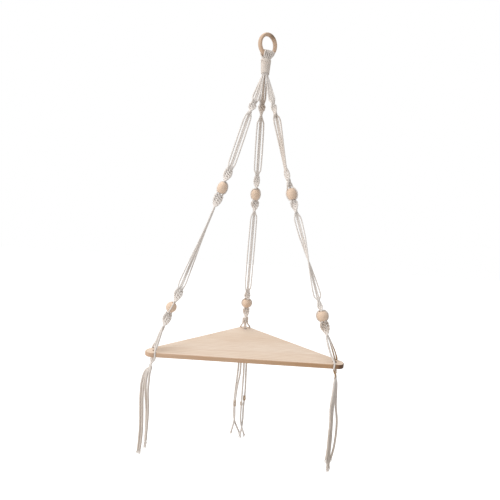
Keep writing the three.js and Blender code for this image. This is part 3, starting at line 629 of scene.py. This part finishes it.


# tan says how much painted shade the cord has: a number, one for each point of its path, or a
# function of them
def makeRope(name, path, phase=0.0, tan=0.0, layLength=cord["layLength"]):
    points, faces, uv, grooveShade = ropeSurface(*path, phase, layLength)
    along = tan(path[0]) if callable(tan) else np.broadcast_to(tan, len(path[0]))
    paintedShade = np.concatenate([np.repeat(along, rope["sides"]), along[[0, -1]]])
    return makeMesh(name, points, faces, cotton, uv, dict(grooveShade=grooveShade, tan=paintedShade))


# What every piece is to the frame: the body it rides on, and the node it stands for, which is
# hidden
def fit(piece, body, node=None):
    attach(piece, body)
    if node:
        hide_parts(node)


# Materials. Colours are given as they look on a screen, 0 to 255.
def paint(r, g, b):
    c = np.array([r, g, b]) / 255
    c = np.where(c <= 0.04045, c / 12.92, ((c + 0.055) / 1.055) ** 2.4)
    return (*c.tolist(), 1.0)


class Nodes:
    def __init__(self, tree):
        self.tree = tree
        self.tree.nodes.clear()

    def feed(self, socket, value):
        if hasattr(value, "links"):
            self.tree.links.new(value, socket)
        else:
            socket.default_value = value

    def add(self, kind, sockets=None, **settings):
        node = self.tree.nodes.new("ShaderNode" + kind)
        for key, value in settings.items():
            setattr(node, key, value)
        for key, value in (sockets or {}).items():
            self.feed(node.inputs[key], value)
        return node

    def math(self, operation, *values):
        return self.add("Math", dict(enumerate(values)), operation=operation).outputs[0]

    # One on what the camera sees, straight or through glass or a gloss, and nought elsewhere
    def seen(self):
        rays = self.add("LightPath").outputs
        shown = self.math("MAXIMUM", rays["Is Camera Ray"], rays["Is Glossy Ray"])
        return self.math("MAXIMUM", shown, rays["Is Transmission Ray"])


class Shader(Nodes):
    def __init__(self, name):
        self.material = bpy.data.materials.new(name)
        self.material.use_nodes = True
        super().__init__(self.material.node_tree)
        self.surface = self.add("BsdfPrincipled")
        self.output = self.add("OutputMaterial", {0: self.surface.outputs[0]})

    def cover(self, sockets):
        for key, value in sockets.items():
            self.feed(self.surface.inputs[key], value)
        return self.material

    def place(self):
        return self.add("TexCoord").outputs["Object"]

    def attribute(self, name):
        return self.add("Attribute", attribute_name=name).outputs["Fac"]

    def mix(self, share, a, b, kind="MIX"):
        node = self.add("Mix", {0: share}, data_type="RGBA", blend_type=kind, clamp_result=True)
        for index, tone in ((6, a), (7, b)):
            self.feed(node.inputs[index], paint(*tone) if isinstance(tone, tuple) else tone)
        return node.outputs[2]

    def ranged(self, value, low, high, toLow=0.0, toHigh=1.0):
        sockets = {"Value": value, "From Min": low, "From Max": high}
        return self.add("MapRange", {**sockets, "To Min": toLow, "To Max": toHigh}).outputs[0]

    def noise(self, vector, scale=1.0, detail=2.0, rough=0.5):
        sockets = {"Vector": vector, "Scale": scale, "Detail": detail, "Roughness": rough}
        return self.add("TexNoise", sockets).outputs[0]

    def mapped(self, vector, scale, rotation=(0, 0, 0), location=(0, 0, 0)):
        sockets = {"Vector": vector, "Scale": scale, "Rotation": rotation, "Location": location}
        return self.add("Mapping", sockets).outputs[0]

    def bump(self, height, strength, distance):
        sockets = {"Height": height, "Strength": strength, "Distance": distance}
        return self.add("Bump", sockets).outputs[0]


# Cotton: fine fibres along the strands, with painted shade in the grooves and a soft sheen. A
# cloud is a faint stain, and tan is the brown of painted shade where a cord hangs in shade. Each
# range is of the noise or attribute, then of the share of the tone.
cottonLook = dict(
    light=(244, 237, 231), shade=(238, 230, 223), stain=(238, 231, 224), grooveShade=(214, 203, 193),
    tan=(172, 138, 98), fibreScale=(58.0, 3.2, 1), fibre=dict(detail=3.0, rough=0.6),
    fibreRange=(0.3, 0.7), cloudScale=28.0, cloudRange=(0.35, 0.65, 0.0, 0.25),
    grooveShadeRange=(0.45, 1.0, 0.0, 0.35), relief=(0.25, 0.00012),
    surface={
        "Roughness": 0.92, "Sheen Weight": 0.2, "Sheen Roughness": 0.5, "Specular IOR Level": 0.2,
    },
)


def makeCotton(name, look):
    shader = Shader(name)
    lay = shader.mapped(shader.add("UVMap", uv_map="lay").outputs[0], look["fibreScale"])
    fibre = shader.noise(lay, **look["fibre"])
    cloud = shader.ranged(shader.noise(shader.place(), look["cloudScale"]), *look["cloudRange"])
    # Painted shade in the grooves between the strands
    grooveShade = shader.ranged(shader.attribute("grooveShade"), *look["grooveShadeRange"])
    strands = shader.ranged(fibre, *look["fibreRange"])
    tone = shader.mix(strands, look["shade"], look["light"])
    tone = shader.mix(cloud, tone, look["stain"], "MULTIPLY")
    tone = shader.mix(grooveShade, tone, look["grooveShade"])
    # Painted shade: the tan attribute browns and darkens the cord where it hangs in shade
    tone = shader.mix(shader.attribute("tan"), tone, look["tan"])
    relief = shader.bump(fibre, *look["relief"])
    return shader.cover({"Base Color": tone, "Normal": relief, **look["surface"]})


# Wood: growth rings round an axis, wavering along it, with fine fibres. The grain runs along X of
# the mapped place, and the rings are counted outwards from the pith. A ring darkens towards its
# end and starts pale again. wood is what the woods here have in common, and each look adds to it.
wood = dict(
    waverScale=(1.4, 9, 9), broadScale=(2.0, 16, 16), broadRange=(0.3, 0.7), late=(0.45, 0.97),
    early=(0.0, 0.12, 1.0, 0.0), ringSharp=2.2, fibre=dict(detail=4.0, rough=0.6),
    streakRange=(0.36, 0.68), roughRange=(0.2, 0.8), rough=(0.44, 0.58), gloss=0.4,
    fibreStrength=0.5, reliefDepth=0.0002,
)


def makeWood(name, look):
    look, shader = {**wood, **look}, Shader(name)
    place = shader.place()
    grain = shader.mapped(place, (1, 1, 1), look["turn"], look["pith"])
    waver = shader.noise(shader.mapped(grain, look["waverScale"]))
    square = shader.mapped(grain, (0, 1, 1))
    radius = shader.add("VectorMath", {0: square}, operation="LENGTH").outputs["Value"]
    rings = shader.math("MULTIPLY_ADD", waver, look["waver"], radius)
    saw = shader.math("FRACT", shader.math("MULTIPLY", rings, 1 / look["ringApart"]))
    late, early = shader.ranged(saw, *look["late"]), shader.ranged(saw, *look["early"])
    band = shader.math("POWER", shader.math("MAXIMUM", late, early), look["ringSharp"])
    fibre = shader.noise(shader.mapped(grain, look["fibreScale"]), **look["fibre"])
    broad = shader.noise(shader.mapped(grain, look["broadScale"]))
    broad = shader.ranged(broad, *look["broadRange"])
    tone = shader.mix(broad, look["light"], look["mid"])
    share = shader.math("MULTIPLY", band, look["ringStrength"])
    tone = shader.mix(share, tone, look["dark"])
    streak = shader.ranged(fibre, *look["streakRange"], 0.0, look["fibreStrength"])
    tone = shader.mix(streak, tone, look["streak"], "MULTIPLY")
    # A patch of painted shade, where the look has one
    if "shadePatch" in look:
        tone = shader.mix(shader.attribute("shadePatch"), tone, look["shadePatch"])
    x, y = shader.add("SeparateXYZ", {0: place}).outputs[:2]
    if "seam" in look:
        seam = look["seam"]
        line = shader.math("MULTIPLY_ADD", x, seam["slope"], seam["start"])
        off = shader.math("ABSOLUTE", shader.math("SUBTRACT", y, line))
        near = shader.ranged(off, 0.0, seam["half"], seam["strength"], 0.0)
        tone = shader.mix(near, tone, seam["tone"])
    # Cut edges: darker wood, with painted shade growing to the right and darkest on the right end
    if "edge" in look:
        edge = look["edge"]
        side = shader.mix(shader.ranged(x, *edge["across"]), edge["left"], edge["right"])
        side = shader.mix(shader.ranged(x, *edge["shadedEndAt"]), side, edge["end"])
        side = shader.mix(streak, side, look["streak"], "MULTIPLY")
        tone = shader.mix(shader.attribute("edge"), tone, side)
    return shader.cover({
        "Base Color": tone,
        "Roughness": shader.ranged(fibre, *look["roughRange"], *look["rough"]),
        "Specular IOR Level": look["gloss"],
        "Normal": shader.bump(fibre, look["relief"], look["reliefDepth"]),
    })


cotton = makeCotton("cotton cord", cottonLook)
boardWood = makeWood("board wood", dict(
    light=(247, 231, 215), mid=(240, 220, 200), dark=(208, 176, 144), streak=(216, 192, 165),
    # edge: the cut edges' darker wood, with painted shade growing to the right, darkest on the end
    edge=dict(
        left=(210, 179, 153), right=(196, 158, 122), across=(-0.2, 0.2), end=(100, 72, 50),
        shadedEndAt=(0.185, 0.207),
    ),
    seam=dict(slope=0.0385, start=-0.0352, half=0.0035, strength=0.8, tone=(226, 200, 176)),
    turn=(0, 0, 0), pith=(0, 0.35, 0.78), waver=0.012, ringApart=0.0085, ringStrength=0.5,
    fibreScale=(16, 700, 700), rough=(0.54, 0.68), gloss=0.3, relief=0.12,
))
beadWood = makeWood("bead wood", dict(
    light=(238, 215, 194), mid=(232, 208, 186), dark=(210, 180, 150), streak=(218, 194, 168),
    turn=(0, 1.45, 0), pith=(0.02, 0.012, 0.02), waver=0.003, ringApart=0.0026, ringStrength=0.35,
    fibreScale=(60, 1400, 1400), fibreStrength=0.45, relief=0.08,
))
# The ring's wood, with the colour of its patch of painted shade
ringWood = makeWood("ring wood", dict(
    light=(220, 193, 168), mid=(212, 183, 157), dark=(176, 143, 116), streak=(190, 163, 138),
    shadePatch=(138, 112, 90), turn=(0, 0, -0.6), pith=(0, 0.02, 0.035), waver=0.004, ringApart=0.003,
    ringStrength=0.45, fibreScale=(70, 1500, 1500), relief=0.1,
))
print("materials made")


legCords, tailTops = {}, {}
for corner in corners:
    for index in (0, 1):
        for kind, stopsOf in (("core", coreStops), ("working", workingStops)):
            stops, slot = stopsOf(corner, index)
            legCords[corner, kind, index] = stops
            tailTops[corner, kind, slot] = stops[-1][0] + plumb


# The tails, each on its way from the knot under the board to its end
def tailStops(corner, number, end):
    plan = tails[corner]
    across, length, back = (plan[key][number] for key in ("across", "lengths", "back"))

    def at(*shares):
        return end + (np.array(shares) * plan["usual"] - [0, 0, cord["faceGap"]])

    thick = tails["full"][0]
    stops = [(end - [0, 0, cord["faceGap"] + d], thick) for d in (0, tails["thick"])]
    soonAcross, soonDown = tails["soon"]
    stops.append((at(across[0] * soonAcross, 0, -length / len(across) * soonDown), thick))
    for i, aside in enumerate(across):
        share = (i + 1) / len(across)
        thick = tails["full"][i >= len(across) / 2]
        stops.append((at(aside, back * share, -length * share), thick))
    return stops


# A frayed end: thin yarns that start side by side in the cord's end and part on the way down.
# A yarn strays outwards with the way down raised to flare, and turns by up to swirl. The yarns
# get a little painted shade for their grooves, and a share of their tail's painted shade.
fray = dict(
    length=15.0, shortest=0.6, yarns=30, thick=0.9, taper=0.45, inCord=0.36, spread=4.2,
    leastSpread=0.2, flare=1.7, swirl=0.9, tuck=2.5, overlap=1.5, reach=4, steps=9, sides=5,
    uv=0.3, grooveShade=0.2, tan=0.3, aside=(0.3, 1, 0.2), seed=7,
)


def makeFray(name, corner, end, way, random):
    count, steps, sides = fray["yarns"], fray["steps"], fray["sides"]
    t = np.linspace(0, 1, steps)
    square = squareTo(way, fray["aside"])
    a = random.uniform(0, 2 * math.pi, count)
    start = np.sqrt(random.uniform(0, 1, count)) * tails["full"][1] * fray["inCord"]
    out = start + random.uniform(fray["leastSpread"], 1, count) * fray["spread"]
    lengths = fray["length"] * random.uniform(fray["shortest"], 1.0, count)
    a = a[:, None] + random.uniform(-fray["swirl"], fray["swirl"], count)[:, None] * t
    r = start[:, None] + (out - start)[:, None] * t ** fray["flare"]
    lines = end + way * (lengths[:, None, None] * t[None, :, None] - fray["tuck"])
    lines = lines + r[..., None] * spokesAt(a, *square)
    thick = fray["thick"] / 2 * (1 - fray["taper"] * t)[:, None, None]
    points = lines[:, :, None] + thick * spokesAt(circle(sides), *square)
    points = points.reshape(-1, 3)
    yarns = np.arange(count)[:, None] * steps * sides
    quads = gridFaces(steps, sides, isOpen=True)[:, [0, 3, 2, 1]]
    quads = (yarns[:, None] + quads).reshape(-1, 4)
    tops, ends = yarns + np.arange(sides), yarns + (steps - 1) * sides + np.arange(sides)[::-1]
    uv = np.full((quads.size + tops.size + ends.size, 2), fray["uv"])
    paintedShade = np.full(len(points), tails["tan"][corner][1] * fray["tan"])
    values = dict(grooveShade=np.full(len(points), fray["grooveShade"]), tan=paintedShade)
    return makeMesh(name, points, (quads, tops, ends), cotton, uv, values)


# A small overhand knot in a tail: a trefoil, drawn out along the tail. Round the way down it is
# at (sin t + 2 sin 2t, cos t - 2 cos 2t), and sin 3t of its half length down.
tailKnot = dict(radius=0.85, thick=3.6, points=121, reach=4, aside=(0.2, 1, 0))


def makeTailKnot(name, path, share, half, tan):
    middle = int(len(path) * share)
    way = unit(path[middle + tailKnot["reach"]] - path[middle - tailKnot["reach"]])
    side, other = squareTo(way, tailKnot["aside"])
    t = np.linspace(0, 2 * math.pi, tailKnot["points"])[:, None]
    line = (np.sin(t) + 2 * np.sin(2 * t)) * side + (np.cos(t) - 2 * np.cos(2 * t)) * other
    line = path[middle] + tailKnot["radius"] * line + half * np.sin(3 * t) * way
    return makeRope(name, evenPath(line, np.full(len(line), tailKnot["thick"])), tan=tan)


random = np.random.default_rng(fray["seed"])
mostPhase, routeEvery = 6, 6
for corner in corners:
    row = [("working", 0), ("core", 0), ("core", 1), ("working", 1)]
    for number, (kind, slot) in enumerate(row):
        node = f"{corner}_tail_{number + 1}"
        stops = tailStops(corner, number, tailTops[corner, kind, slot])
        path, width, along = smoothPath(stops, tails["mostRun"])
        kept = along <= along[-1] - fray["length"] + fray["overlap"]
        path, width, along = path[kept], width[kept], along[kept]
        phase = random.uniform(0, mostPhase)
        # Painted shade along the tail, from its top to its middle and on
        tan = np.interp(along, [0, along[-1] / 2], tails["tan"][corner])
        piece = makeRope(node + "_cord", (path, width, along), phase, tan)
        way = unit(path[-1] - path[-fray["reach"]])
        extras = [makeFray(node + "_end", corner, path[-1], way, random)]
        if node in tails["knots"]:
            extras.append(makeTailKnot(node + "_knot", path, *tails["knots"][node]))
        fit(piece, "suspension", node)
        for extra in extras:
            fit(extra, "suspension")
        route = path[::routeEvery]
        if (len(path) - 1) % routeEvery:
            route = np.vstack([route, path[-1]])
print("tails made")


# The legs' cords, from the top of the wrapping to the knot under the board. Their painted shade
# goes by places below the wrapping. The back leg's have painted shade above the first knot, most
# on the right, and less of it down to the second.
backShadePlan = dict(
    below=[0, 60, 90, 130, 200], tan=[0.36, 0.42, 0.26, 0.08, 0], aside=[-6, -2], share=[0.2, 1],
)
# The right leg's have painted shade in its upper half and in its fourth knot, under the board,
# and below the last knot too, where the front cord stays pale.
rightShadePlan = dict(
    below=[70, 90, 110, 200, 225, 530, 540, 552, 560],
    tan=[0, 0.2, 0.2, 0.25, 0, 0, 0.35, 0.35, 0], lowest=[582, 598], lowestShade=[0, 0.9],
    out=[64, 72], share=[1, 0], under=[632, 640], underShade=[0, 0.6],
)


def backShadeAt(path, t=backShadePlan):
    below, aside = wrapBottom - path[:, 2], path[:, 0] - plumb[0]
    return np.interp(below, t["below"], t["tan"]) * np.interp(aside, t["aside"], t["share"])


def rightShadeAt(path, t=rightShadePlan):
    below, out = wrapBottom - path[:, 2], plumb[1] - path[:, 1]
    lowest = np.interp(below, t["lowest"], t["lowestShade"]) * np.interp(out, t["out"], t["share"])
    tan = np.maximum(np.interp(below, t["below"], t["tan"]), lowest)
    return tan + np.interp(below, t["under"], t["underShade"])


legShades = dict(back=backShadeAt, right=rightShadeAt)
for (corner, kind, index), stops in legCords.items():
    node = f"{corner}_{'filler' if kind == 'core' else 'working'}_cord_{'ab'[index]}"
    path = smoothPath([(place + plumb, thick) for place, thick in stops])
    phase = random.uniform(0, mostPhase)
    piece = makeRope(node + "_rope", path, phase, legShades.get(corner, 0.0))
    fit(piece, "suspension", node)
print("legs made")


# The ring: an oval section, blunter than an ellipse, carried round the eye. Its dark patch is
# painted shade, strongest at its place and on the ring's outside.
def makeRing(name):
    around, section, blunt = ring["around"], ring["section"], ring["blunt"]
    a, b = np.meshgrid(circle(around), circle(section), indexing="ij")
    outwards, sideways = (np.sign(s) * np.abs(s) ** (2 / blunt) for s in (np.cos(b), np.sin(b)))
    out, axial = tubeRadius + ring["thick"] / 2 * outwards, ring["wide"] / 2 * sideways
    points = ringCentre + out[..., None] * spokesAt(a, ringTangent, ringUp)
    points = points + axial[..., None] * ringAxis
    dark = ring["paintedShadeSpot"]
    off = (a - math.radians(dark["place"])) / math.radians(dark["spread"])
    shadePatch = np.clip(dark["base"] + dark["outwards"] * np.cos(b), 0, 1)
    values = dict(shadePatch=(dark["most"] * np.exp(-(off**2)) * shadePatch).ravel())
    faces = gridFaces(around, section)[:, ::-1]
    return makeMesh(name, points.reshape(-1, 3), (faces,), ringWood, values=values)


fit(makeRing("wooden_ring"), "ring", "hanging_ring")


# A bead: an oval of revolution with a straight bore, its rims eased, on the leg's line
beadSteps = dict(around=56, oval=33, rim=9, bore=7)
rimRise = 0.35


def makeBead(name, bead, centre, down):
    bore, half, rimHalf = bead["bore"] / 2, bead["wide"] / 2, bead["rim"] / 2
    rim = math.acos((bore + bead["rim"]) / half)
    a = np.linspace(-rim, rim, beadSteps["oval"])
    outer = np.stack([half * np.cos(a), bead["long"] / 2 * np.sin(a)], 1)
    end = bead["long"] / 2 * math.sin(rim)
    e = np.linspace(0, math.pi, beadSteps["rim"])[1:-1]
    top = np.stack([bore + rimHalf + rimHalf * np.cos(e), end + rimRise * np.sin(e)], 1)
    inner = np.linspace((bore, end), (bore, -end), beadSteps["bore"])
    profile = np.concatenate([outer, top, inner, top[::-1] * [1, -1]])
    t = circle(beadSteps["around"])
    spokes = spokesAt(t, *squareTo(down, [0, -1, 0]))
    points = centre + profile[None, :, :1] * spokes[:, None] - profile[None, :, 1:] * down
    return makeMesh(name, points.reshape(-1, 3), (gridFaces(len(t), len(profile)),), beadWood)


for corner in corners:
    axes, steps, _ = followLeg(corner)
    for step in steps:
        if step["bead"]:
            node = f"{corner}_{step['bead']}_bead"
            centre = placeIn(axes, step["sway"], 0, step["station"]) + plumb
            piece = makeBead(node + "_turned", beads[step["bead"]], centre, axes[3])
            fit(piece, node, node)
print("ring and beads made")


# The board: its outline with notches and holes, rounded over at the top and the bottom edge.
# Every loop of the outline is a column of rows, each moved in by r(1 - cos a) and up by r sin a.
def notchOutline(centre, along):
    inward = np.array([-along[1], along[0]])
    r, entry = board["notchWide"] / 2, board["notchEntry"]
    e = np.linspace(0, math.pi / 2, board["steps"]["entry"])[:, None]
    eased, dip = along * entry * np.sin(e), inward * entry * (1 - np.cos(e))
    first = centre - along * (r + entry) + eased + dip
    last = centre + along * (r + entry) - eased + dip
    a = np.linspace(0, math.pi, board["steps"]["notch"])[:, None]
    bottom = centre + inward * (board["notchDeep"] - r) - along * r * np.cos(a)
    return [first, bottom + inward * r * np.sin(a), last[::-1]]


def boardLoops():
    parts = []
    for i, a in enumerate(corners):
        b, c = corners[(i + 1) % 3], corners[(i + 2) % 3]
        along, following = edgeWay(a, b), edgeWay(b, c)
        parts += notchOutline(sharp[a] + along * board["notchFromCorner"][a], along)
        parts += notchOutline(sharp[b] - along * board["notchFromCorner"][b], along)
        radius, inward = board["cornerRadius"], np.array([-along[1], along[0]])
        centre = sharp[b] - along * radius / math.tan(math.radians(board["halfAngle"][b]))
        centre = centre + inward * radius
        first = math.atan2(-inward[1], -inward[0])
        sweep = math.atan2(following[1], following[0]) - math.atan2(along[1], along[0])
        t = first + sweep % (2 * math.pi) * np.linspace(0, 1, board["steps"]["corner"])
        parts.append(centre + radius * spokesAt(t, *np.eye(2)))
    loops = [np.concatenate(parts)]
    t = -circle(board["steps"]["hole"])
    for corner in corners:
        loops.append(holeCentre(corner) + board["hole"] / 2 * spokesAt(t, *np.eye(2)))
    return loops


# The flat top or bottom inside its loops, as triangles that all face up, or down where flipped
def boardCap(level, flipped):
    triangles = tessellate_polygon([[Vector(p) for p in rim] for _, rim in level])
    triangles = np.array(triangles)
    flat = np.concatenate([rim for _, rim in level])
    p0, p1, p2 = (flat[triangles[:, q]] for q in range(3))
    area = (p1[:, 0] - p0[:, 0]) * (p2[:, 1] - p0[:, 1])
    area -= (p1[:, 1] - p0[:, 1]) * (p2[:, 0] - p0[:, 0])
    triangles = np.concatenate([first + np.arange(len(rim)) for first, rim in level])[triangles]
    wrong = area > 0 if flipped else area < 0
    triangles[wrong] = triangles[wrong][:, ::-1]
    return triangles


def makeBoard(name):
    points, sides, tops, bottoms, start = [], [], [], [], 0
    r = board["edgeRound"]
    a = np.linspace(0, math.pi / 2, board["steps"]["edge"])
    inset = np.concatenate([r * (1 - np.sin(a)), r * (1 - np.sin(a[::-1]))])
    height = np.concatenate([-board["thick"] + r * (1 - np.cos(a)), -r * (1 - np.cos(a[::-1]))])
    for loop in boardLoops():
        n, rows = len(loop), len(inset)
        ahead, behind = unit(np.roll(loop, -1, 0) - loop), unit(loop - np.roll(loop, 1, 0))
        normal = unit(np.stack([-(ahead + behind)[:, 1], (ahead + behind)[:, 0]], 1))
        miter = (normal * np.stack([-ahead[:, 1], ahead[:, 0]], 1)).sum(1)
        normal = normal / np.clip(miter, board["leastMiter"], 1)[:, None]
        moved = loop[None] + normal[None] * inset[:, None, None]
        column = np.concatenate([moved, np.broadcast_to(height[:, None, None], (rows, n, 1))], 2)
        points.append(column.reshape(-1, 3))
        sides.append(start + gridFaces(rows, n, isOpen=True))
        bottoms.append((start, column[0]))
        tops.append((start + (rows - 1) * n, column[-1]))
        start += rows * n
    caps = [boardCap(tops, False), boardCap(bottoms, True)]
    points = np.concatenate(points) + [plumb[0], plumb[1], boardTop]
    sides = np.concatenate(sides)
    # edge marks the cut edges, for their darker wood and painted shade
    edge = np.concatenate([np.ones(sides.size), np.zeros(sum(c.size for c in caps))])
    faces = (sides, *caps)
    return makeMesh(name, points, faces, boardWood, values=dict(edge=edge), flatGroups=(1, 2))


fit(makeBoard("board_plate"), "suspension", "shelf_board")
print("board made")


# The wrapping: an even coil from the bottom up that widens by flare. Its last turn rises behind
# the top, comes down across the front standing out by crossOut, and is tucked in at its end. tan
# is painted shade, even all over it.
wrapping = dict(
    thick=4.6, tan=0.2, layLength=12.0, steps=40, foot=7.3, flare=2.0, rise=0.3, crossDown=9.0,
    crossOut=2.4, crossShare=0.85, crossPower=0.8, tuck=3.0, tuckFrom=0.9,
)


def makeWrapping(name, w):
    t = np.arange(0, wrap["turns"] * w["steps"] + 1) / w["steps"]
    radius = w["foot"] + w["flare"] * t / wrap["turns"]
    height = wrapBottom + cord["thick"] / 2 + wrap["pitch"] * t
    extra = np.arange(1, w["steps"] + 1) / w["steps"]
    half = np.clip(extra * 2 - 1, 0, 1)
    across = np.clip(half, 0, w["crossShare"]) / w["crossShare"]
    lastRadius = radius[-1] + w["crossOut"] * np.sin(across * math.pi) ** w["crossPower"]
    lastRadius -= w["tuck"] * np.clip(extra - w["tuckFrom"], 0, 1) / (1 - w["tuckFrom"])
    lastHeight = height[-1] + wrap["pitch"] * w["rise"] * np.clip(extra * 2, 0, 1)
    lastHeight -= w["crossDown"] * half
    radius, height = np.append(radius, lastRadius), np.append(height, lastHeight)
    a = 2 * math.pi * np.append(t, t[-1] + extra)
    path = np.stack([radius * np.cos(a), radius * np.sin(a), height], 1) + plumb
    path = evenPath(path, np.full(len(path), w["thick"]))
    return makeRope(name, path, tan=w["tan"], layLength=w["layLength"])


fit(makeWrapping("wrapping_rope", wrapping), "suspension", "wrapping_cord")


# Six cords folded over the foot of the ring. Each runs up out of the wrapping in front, over the
# ring's tube and down again behind. Their ends stand on half a circle on either side. shift is how
# far they lie round the ring, in degrees, and lift raises the middle ones' tops. tan is a little
# painted shade, even all over them.
loops = dict(
    count=6, tan=0.1, arcSteps=12, endAngle=4.0, thick=3.9, apart=3.75, shift=8.0, lift=3.4,
    circle=6.6, fan=78.0, tuck=7.0,
)


def loopEnd(side, share):
    a = math.radians(share * loops["fan"])
    way = ringTangent * math.sin(a) + side * ringFacing * math.cos(a)
    place = loops["circle"] * way + plumb
    return [place + [0, 0, wrapTop - loops["tuck"]], place + [0, 0, wrapTop]]


def loopPlaces(number):
    radius = loops["thick"] / 2
    share = (2 * number + 1 - loops["count"]) / (loops["count"] - 1)
    spacing = loops["apart"] / (eyeRadius - radius)
    aside = (number - (loops["count"] - 1) / 2) * spacing + math.radians(loops["shift"])
    outward = ringTangent * math.sin(aside) - ringUp * math.cos(aside)
    tube = ringCentre + outward * tubeRadius
    wide, high = ring["wide"] / 2 + radius, ring["thick"] / 2 + radius
    places = []
    first, last = math.radians(loops["endAngle"]), math.radians(180 - loops["endAngle"])
    for a in np.linspace(first, last, loops["arcSteps"] + 1):
        lift = loops["lift"] * (1 - share**2) * math.sin(a) ** 2
        places.append(tube + ringAxis * wide * math.cos(a) - outward * (high * math.sin(a) + lift))
    return loopEnd(1, share) + places + loopEnd(-1, share)[::-1]


for number in range(loops["count"]):
    node = f"ring_loop_{number + 1}"
    path = smoothPath([(place, loops["thick"]) for place in loopPlaces(number)])
    piece = makeRope(node + "_rope", path, random.uniform(0, mostPhase), loops["tan"])
    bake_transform(piece)
    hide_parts(node)
print("wrapping and loops made")


# The studio, in metres: a pale floor far below, plain soft lamps and a pale room. The camera sees
# the room as white, and the floor glows for it, so that only the object's shadow shows there.
studio = dict(
    floorBelowBoard=0.75, floorSize=14.0, floorTone=(246, 246, 246), floorRough=0.9,
    floorGlow=0.65, roomStrength=0.53,
    lamps=[
        dict(name="keyLamp", place=(-2.35, -1.3, 0.6), aim=(0, 0, -0.5), size=2.6, power=44.0),
        dict(name="topLamp", place=(-0.4, -0.1, 1.6), aim=(0, 0, -0.6), size=1.2, power=18.0),
    ],
)
white = (1, 1, 1, 1)


def makeRoom(s):
    world = bpy.data.worlds.new("paleRoom")
    bpy.context.scene.world = world
    world.use_nodes = True
    nodes = Nodes(world.node_tree)
    ambient = nodes.add("Background", {0: white, 1: s["roomStrength"]}).outputs[0]
    shown = nodes.add("Background", {0: white, 1: 1.0}).outputs[0]
    room = nodes.add("MixShader", {0: nodes.seen(), 1: ambient, 2: shown}).outputs[0]
    nodes.add("OutputWorld", {0: room})


def makeFloor(s):
    half, z = s["floorSize"] / 2 / metres, boardTop - s["floorBelowBoard"] / metres
    points = np.array([[-half, -half, z], [half, -half, z], [half, half, z], [-half, half, z]])
    shader = Shader("pale floor")
    shader.cover({"Base Color": paint(*s["floorTone"]), "Roughness": s["floorRough"]})
    plain = shader.surface.outputs[0]
    glow = shader.add("Emission", {"Color": white, "Strength": s["floorGlow"]}).outputs[0]
    glowing = shader.add("AddShader", {0: plain, 1: glow}).outputs[0]
    floor = shader.add("MixShader", {0: shader.seen(), 1: plain, 2: glowing}).outputs[0]
    shader.feed(shader.output.inputs[0], floor)
    makeMesh("floor", points, (np.array([[0, 1, 2, 3]]),), shader.material)


def makeLamp(lamp):
    data = bpy.data.lights.new(lamp["name"], "AREA")
    data.size, data.energy = lamp["size"], lamp["power"]
    place, aim = Vector(lamp["place"]), Vector(lamp["aim"])
    turn = (aim - place).to_track_quat("-Z", "Y").to_matrix().to_4x4()
    addObject(lamp["name"], data).matrix_world = Matrix.Translation(place) @ turn


makeRoom(studio)
makeFloor(studio)
for lamp in studio["lamps"]:
    makeLamp(lamp)
bpy.context.scene.view_settings.view_transform = "Standard"
print("studio made")


def plain(bounds):
    return [[float(x) for x in point] for point in bounds]
